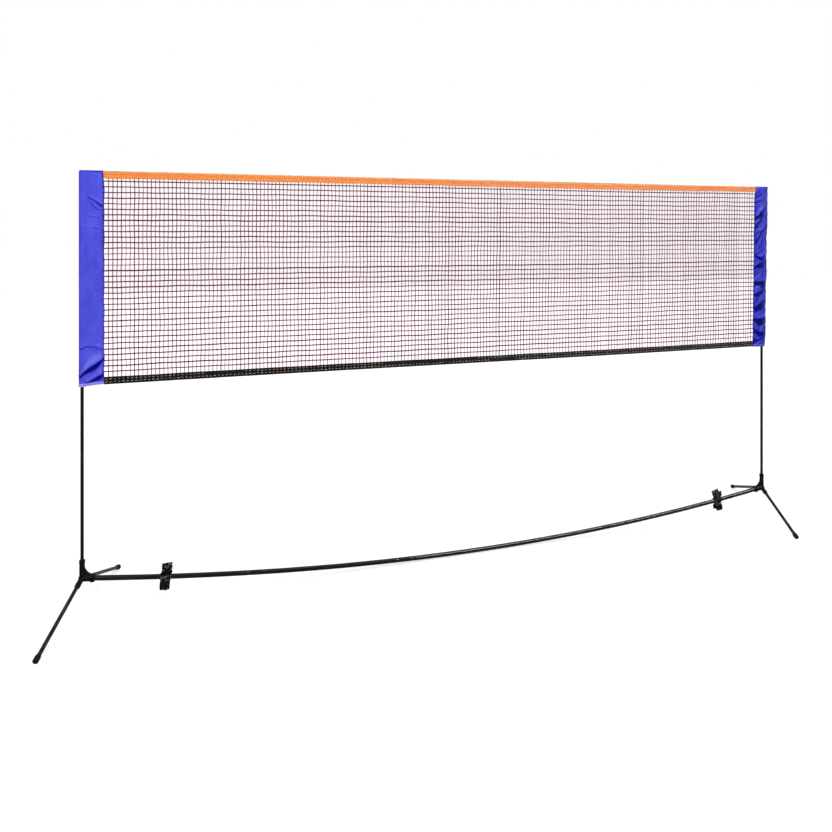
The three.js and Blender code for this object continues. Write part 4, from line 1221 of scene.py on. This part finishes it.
def strands(paths, radii, across, other):
    """Tubes along many paths of equal length, as one mesh with a grid of UV cells."""
    count, length, _ = paths.shape
    sides = YARN_SIDES
    angles = 2 * np.pi * np.arange(sides) / sides
    circle = np.outer(np.cos(angles), across) + np.outer(np.sin(angles), other)
    points = paths[:, :, None, :] + radii[:, :, None, None] * circle[None, None]
    strand, ring, side = np.meshgrid(np.arange(count), np.arange(length - 1), np.arange(sides), indexing="ij")
    base = (strand * length + ring) * sides
    following = (side + 1) % sides
    faces = np.stack([base + side, base + following, base + sides + following, base + sides + side], axis=-1)
    caps = []
    for first in np.arange(count) * length * sides:
        last = first + (length - 1) * sides
        caps.append([first + i for i in range(sides - 1, -1, -1)])
        caps.append([last + i for i in range(sides)])
    corner = np.array([[0, 0], [1, 0], [1, 1], [0, 1]])
    u = (strand[..., None] + (side[..., None] + corner[:, 0] * 0.9) / sides * 0.9) / count
    v = (ring[..., None] + corner[:, 1]) / (length - 1)
    uvs = np.stack([u, np.broadcast_to(v, u.shape)], axis=-1).reshape(-1, 2)
    cap_uv = np.repeat((np.arange(count) + 0.95) / count, 2 * sides)
    cap_uvs = np.stack([cap_uv, np.full(len(cap_uv), 0.5)], axis=-1)
    return points.reshape(-1, 3), faces.reshape(-1, 4).tolist() + caps, np.vstack([uvs, cap_uvs])


def add_net_part(name, points, faces, uvs, material, tones=None):
    mesh = make_mesh(name, points, faces, outward=False)
    layer = mesh.uv_layers.new(name="OFBake")
    layer.data.foreach_set("uv", np.ascontiguousarray(uvs, dtype=np.float32).ravel())
    if tones is not None:
        set_values(mesh, "tone", tones)
    add_piece(name, mesh, material, "net", ["net_mesh"], crease=80)


def add_yarns(name, paths, directions, material, radius, radius_spread, tone, tone_spread, palest):
    """One set of yarns, of which some are thicker and some are paler."""
    count, length, _ = paths.shape
    radii = radius * (1 + radius_spread * random.standard_normal((count, 1))) * np.ones(length)
    tones = np.clip(tone + tone_spread * random.standard_normal(count), 0.1, palest)
    add_net_part(name, *strands(paths, radii, *directions), material, np.repeat(tones, length * YARN_SIDES))


def add_knots(centres):
    ball = bmesh.new()
    bmesh.ops.create_icosphere(ball, subdivisions=1, radius=1.0)
    ball_points = np.array([v.co[:] for v in ball.verts])
    ball_faces = np.array([[v.index for v in f.verts] for f in ball.faces])
    ball.free()
    count = len(centres)
    size = KNOT_RADIUS * (1 + 0.18 * random.standard_normal((count, 3)))
    size = np.clip(size, 0.6 * KNOT_RADIUS, 1.5 * KNOT_RADIUS) * np.array(KNOT_SHAPE)
    points = (centres[:, None] + size[:, None] * ball_points[None]).reshape(-1, 3)
    faces = (np.arange(count)[:, None, None] * len(ball_points) + ball_faces[None]).reshape(-1, 3)
    # Each knot has a cell of its own in the UV map.
    cells = math.ceil(math.sqrt(count))
    index = np.repeat(np.arange(count), ball_faces.size)
    flat = np.tile(ball_points[ball_faces.ravel()][:, [0, 2]], (count, 1)) * 0.4 + 0.5
    uvs = np.stack([index % cells + flat[:, 0], index // cells + flat[:, 1]], axis=-1) / cells
    add_net_part("net_knots", points, faces, uvs, KNOT_YARN)


def make_net():
    column_x = NET_START + COLUMN_PITCH * np.arange(1, MESH_COLUMNS)
    row_z = np.linspace(FIRST_ROW, LAST_ROW, MESH_GAPS - 1)
    along, aside, up = np.eye(3)
    heights = np.linspace(MESH_BOTTOM - UPRIGHT_TUCK, MESH_TOP + UPRIGHT_TUCK, 2 * MESH_GAPS + 1)
    uprights = hung(column_x[:, None], heights[None])
    add_yarns("net_uprights", uprights, (along, aside), UPRIGHT_YARN, UPRIGHT_RADIUS, 0.14, 0.7, 0.25, 1.4)
    places = np.linspace(NET_START - ROW_TUCK, NET_END + ROW_TUCK, 2 * MESH_COLUMNS + 1)
    rows = hung(places[None], row_z[:, None])
    rows[:, 1::2, 2] -= ROW_SLACK
    add_yarns("net_rows", rows, (aside, up), ROW_YARN, ROW_RADIUS, 0.12, 0.6, 0.35, 1.5)
    add_knots(hung(column_x[:, None], row_z[None]).reshape(-1, 3))


# Hidden pieces that keep their CAD shape

def finish_hidden_nodes():
    finishes = {"top_cord": cord_fibre()}
    tip = tip_plastic()
    for name in ("left", "right"):
        finishes[f"post_spigot_{name}"] = STEEL
        finishes[f"post_tip_{name}"] = tip
    for i in range(1, POLE_SECTIONS):
        finishes[f"base_pole_spigot_{i}"] = STEEL
    for node, material in finishes.items():
        for material_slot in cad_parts[node].material_slots:
            material_slot.material = material


# Floor, backdrop, light and camera

WHITE = (1, 1, 1, 1)
FLOOR_HALF = 14.0
FLOOR_GREY = (0.42, 0.42, 0.42, 1)
# The floor's own glow grows from its first strength to white between these distances.
FLOOR_GLOW = {"low": 1.8, "high": 5.5, "to_low": 0.64, "to_high": 1.0}
WORLD_LIGHT = 0.34
SENSOR_WIDTH = 36


def add_light(name, place, target, size, watts, size_y=None, roll=0.0):
    data = bpy.data.lights.new(name, "AREA")
    data.shape = "RECTANGLE"
    data.size = size
    data.size_y = size_y or size
    data.energy = watts
    light = add_object(name, data)
    light.location = place
    turn = (Vector(target) - Vector(place)).to_track_quat("-Z", "Y") @ Quaternion((0, 0, 1), roll)
    light.rotation_euler = turn.to_euler()
    light.visible_camera = False
    return light


def make_floor():
    corners = [(x * FLOOR_HALF, y * FLOOR_HALF, 0) for x, y in ((-1, -1), (1, -1), (1, 1), (-1, 1))]
    mesh = make_mesh("floor", corners, [(0, 1, 2, 3)])
    floor = add_object("floor", mesh)
    finish = Finish("floor_paper", Base_Color=FLOOR_GREY, Roughness=0.9, Specular_IOR_Level=0.0)
    flat = finish.add("ShaderNodeVectorMath", {0: finish.place, 1: (1, 1, 0)}, operation="MULTIPLY")
    away = finish.add("ShaderNodeVectorMath", {0: flat.outputs[0]}, operation="LENGTH").outputs["Value"]
    strength = finish.span(away, **FLOOR_GLOW)
    glow = finish.add("ShaderNodeEmission", {"Color": WHITE, "Strength": strength}).outputs[0]
    plain = finish.shader.outputs[0]
    both = finish.add("ShaderNodeAddShader", {0: plain, 1: glow}).outputs[0]
    lit = finish.add("ShaderNodeMixShader", {0: finish.seen_directly(), 1: plain, 2: both}).outputs[0]
    finish.tree.links.new(lit, finish.tree.nodes["Material Output"].inputs["Surface"])
    mesh.materials.append(finish.material)


def make_world():
    world = bpy.data.worlds.new("studio")
    bpy.context.scene.world = world
    world.use_nodes = True
    nodes = Nodes(world.node_tree)
    background = nodes.tree.nodes["Background"]
    background.inputs["Color"].default_value = WHITE
    strength = nodes.span(nodes.seen_directly(), 0, 1, WORLD_LIGHT, 1)
    nodes.tree.links.new(strength, background.inputs["Strength"])


def make_camera():
    data = bpy.data.cameras.new("photo_camera")
    data.sensor_width = SENSOR_WIDTH
    data.lens = SENSOR_WIDTH * FOCAL_PIXELS / FRAME_PIXELS
    data.shift_y = -(FRAME_PIXELS / 2 - HORIZON_PIXEL) / FRAME_PIXELS
    data.clip_end = 60
    camera = add_object("photo_camera", data)
    camera.location = CAMERA_PLACE
    camera.rotation_euler = (math.pi / 2, 0, -CAMERA_YAW)
    bpy.context.scene.camera = camera


def make_stage():
    make_floor()
    make_world()
    make_camera()
    add_light("key", (-2.2, -4.2, 4.4), (0, 0, 0.8), 2.6, 205)
    add_light("overhead", (0.8, -0.4, 4.8), (0.2, 0, 0.6), 3.4, 200)
    # A long window above the right side that shows only as a gleam on the tubes.
    window = add_light("window", (2.59, -1.95, 3.27), (2.16, 0, 0.05), 3.3, 1000, size_y=0.30,
                       roll=math.radians(1.5))
    window.visible_diffuse = False
    bpy.context.scene.view_settings.view_transform = "Standard"


make_base_pole()
make_corners()
for clip in CLIP_PLACES:
    make_clip(clip)
for sleeve, settings in SLEEVES.items():
    make_sleeve(sleeve, **settings)
make_tape("top_tape", ORANGE, top_tape_stitches, upward=1, height=TOP_TAPE_HEIGHT,
          half_hem=TOP_HALF_HEM, layer=0.0008, hem_wave=0.0011)
make_tape("bottom_tape", OLIVE, bottom_tape_stitches, upward=-1, height=BOTTOM_TAPE_HEIGHT,
          half_hem=BOTTOM_HALF_HEM, layer=0.0010, hem_wave=0.0006)
make_net()
finish_hidden_nodes()
make_stage()
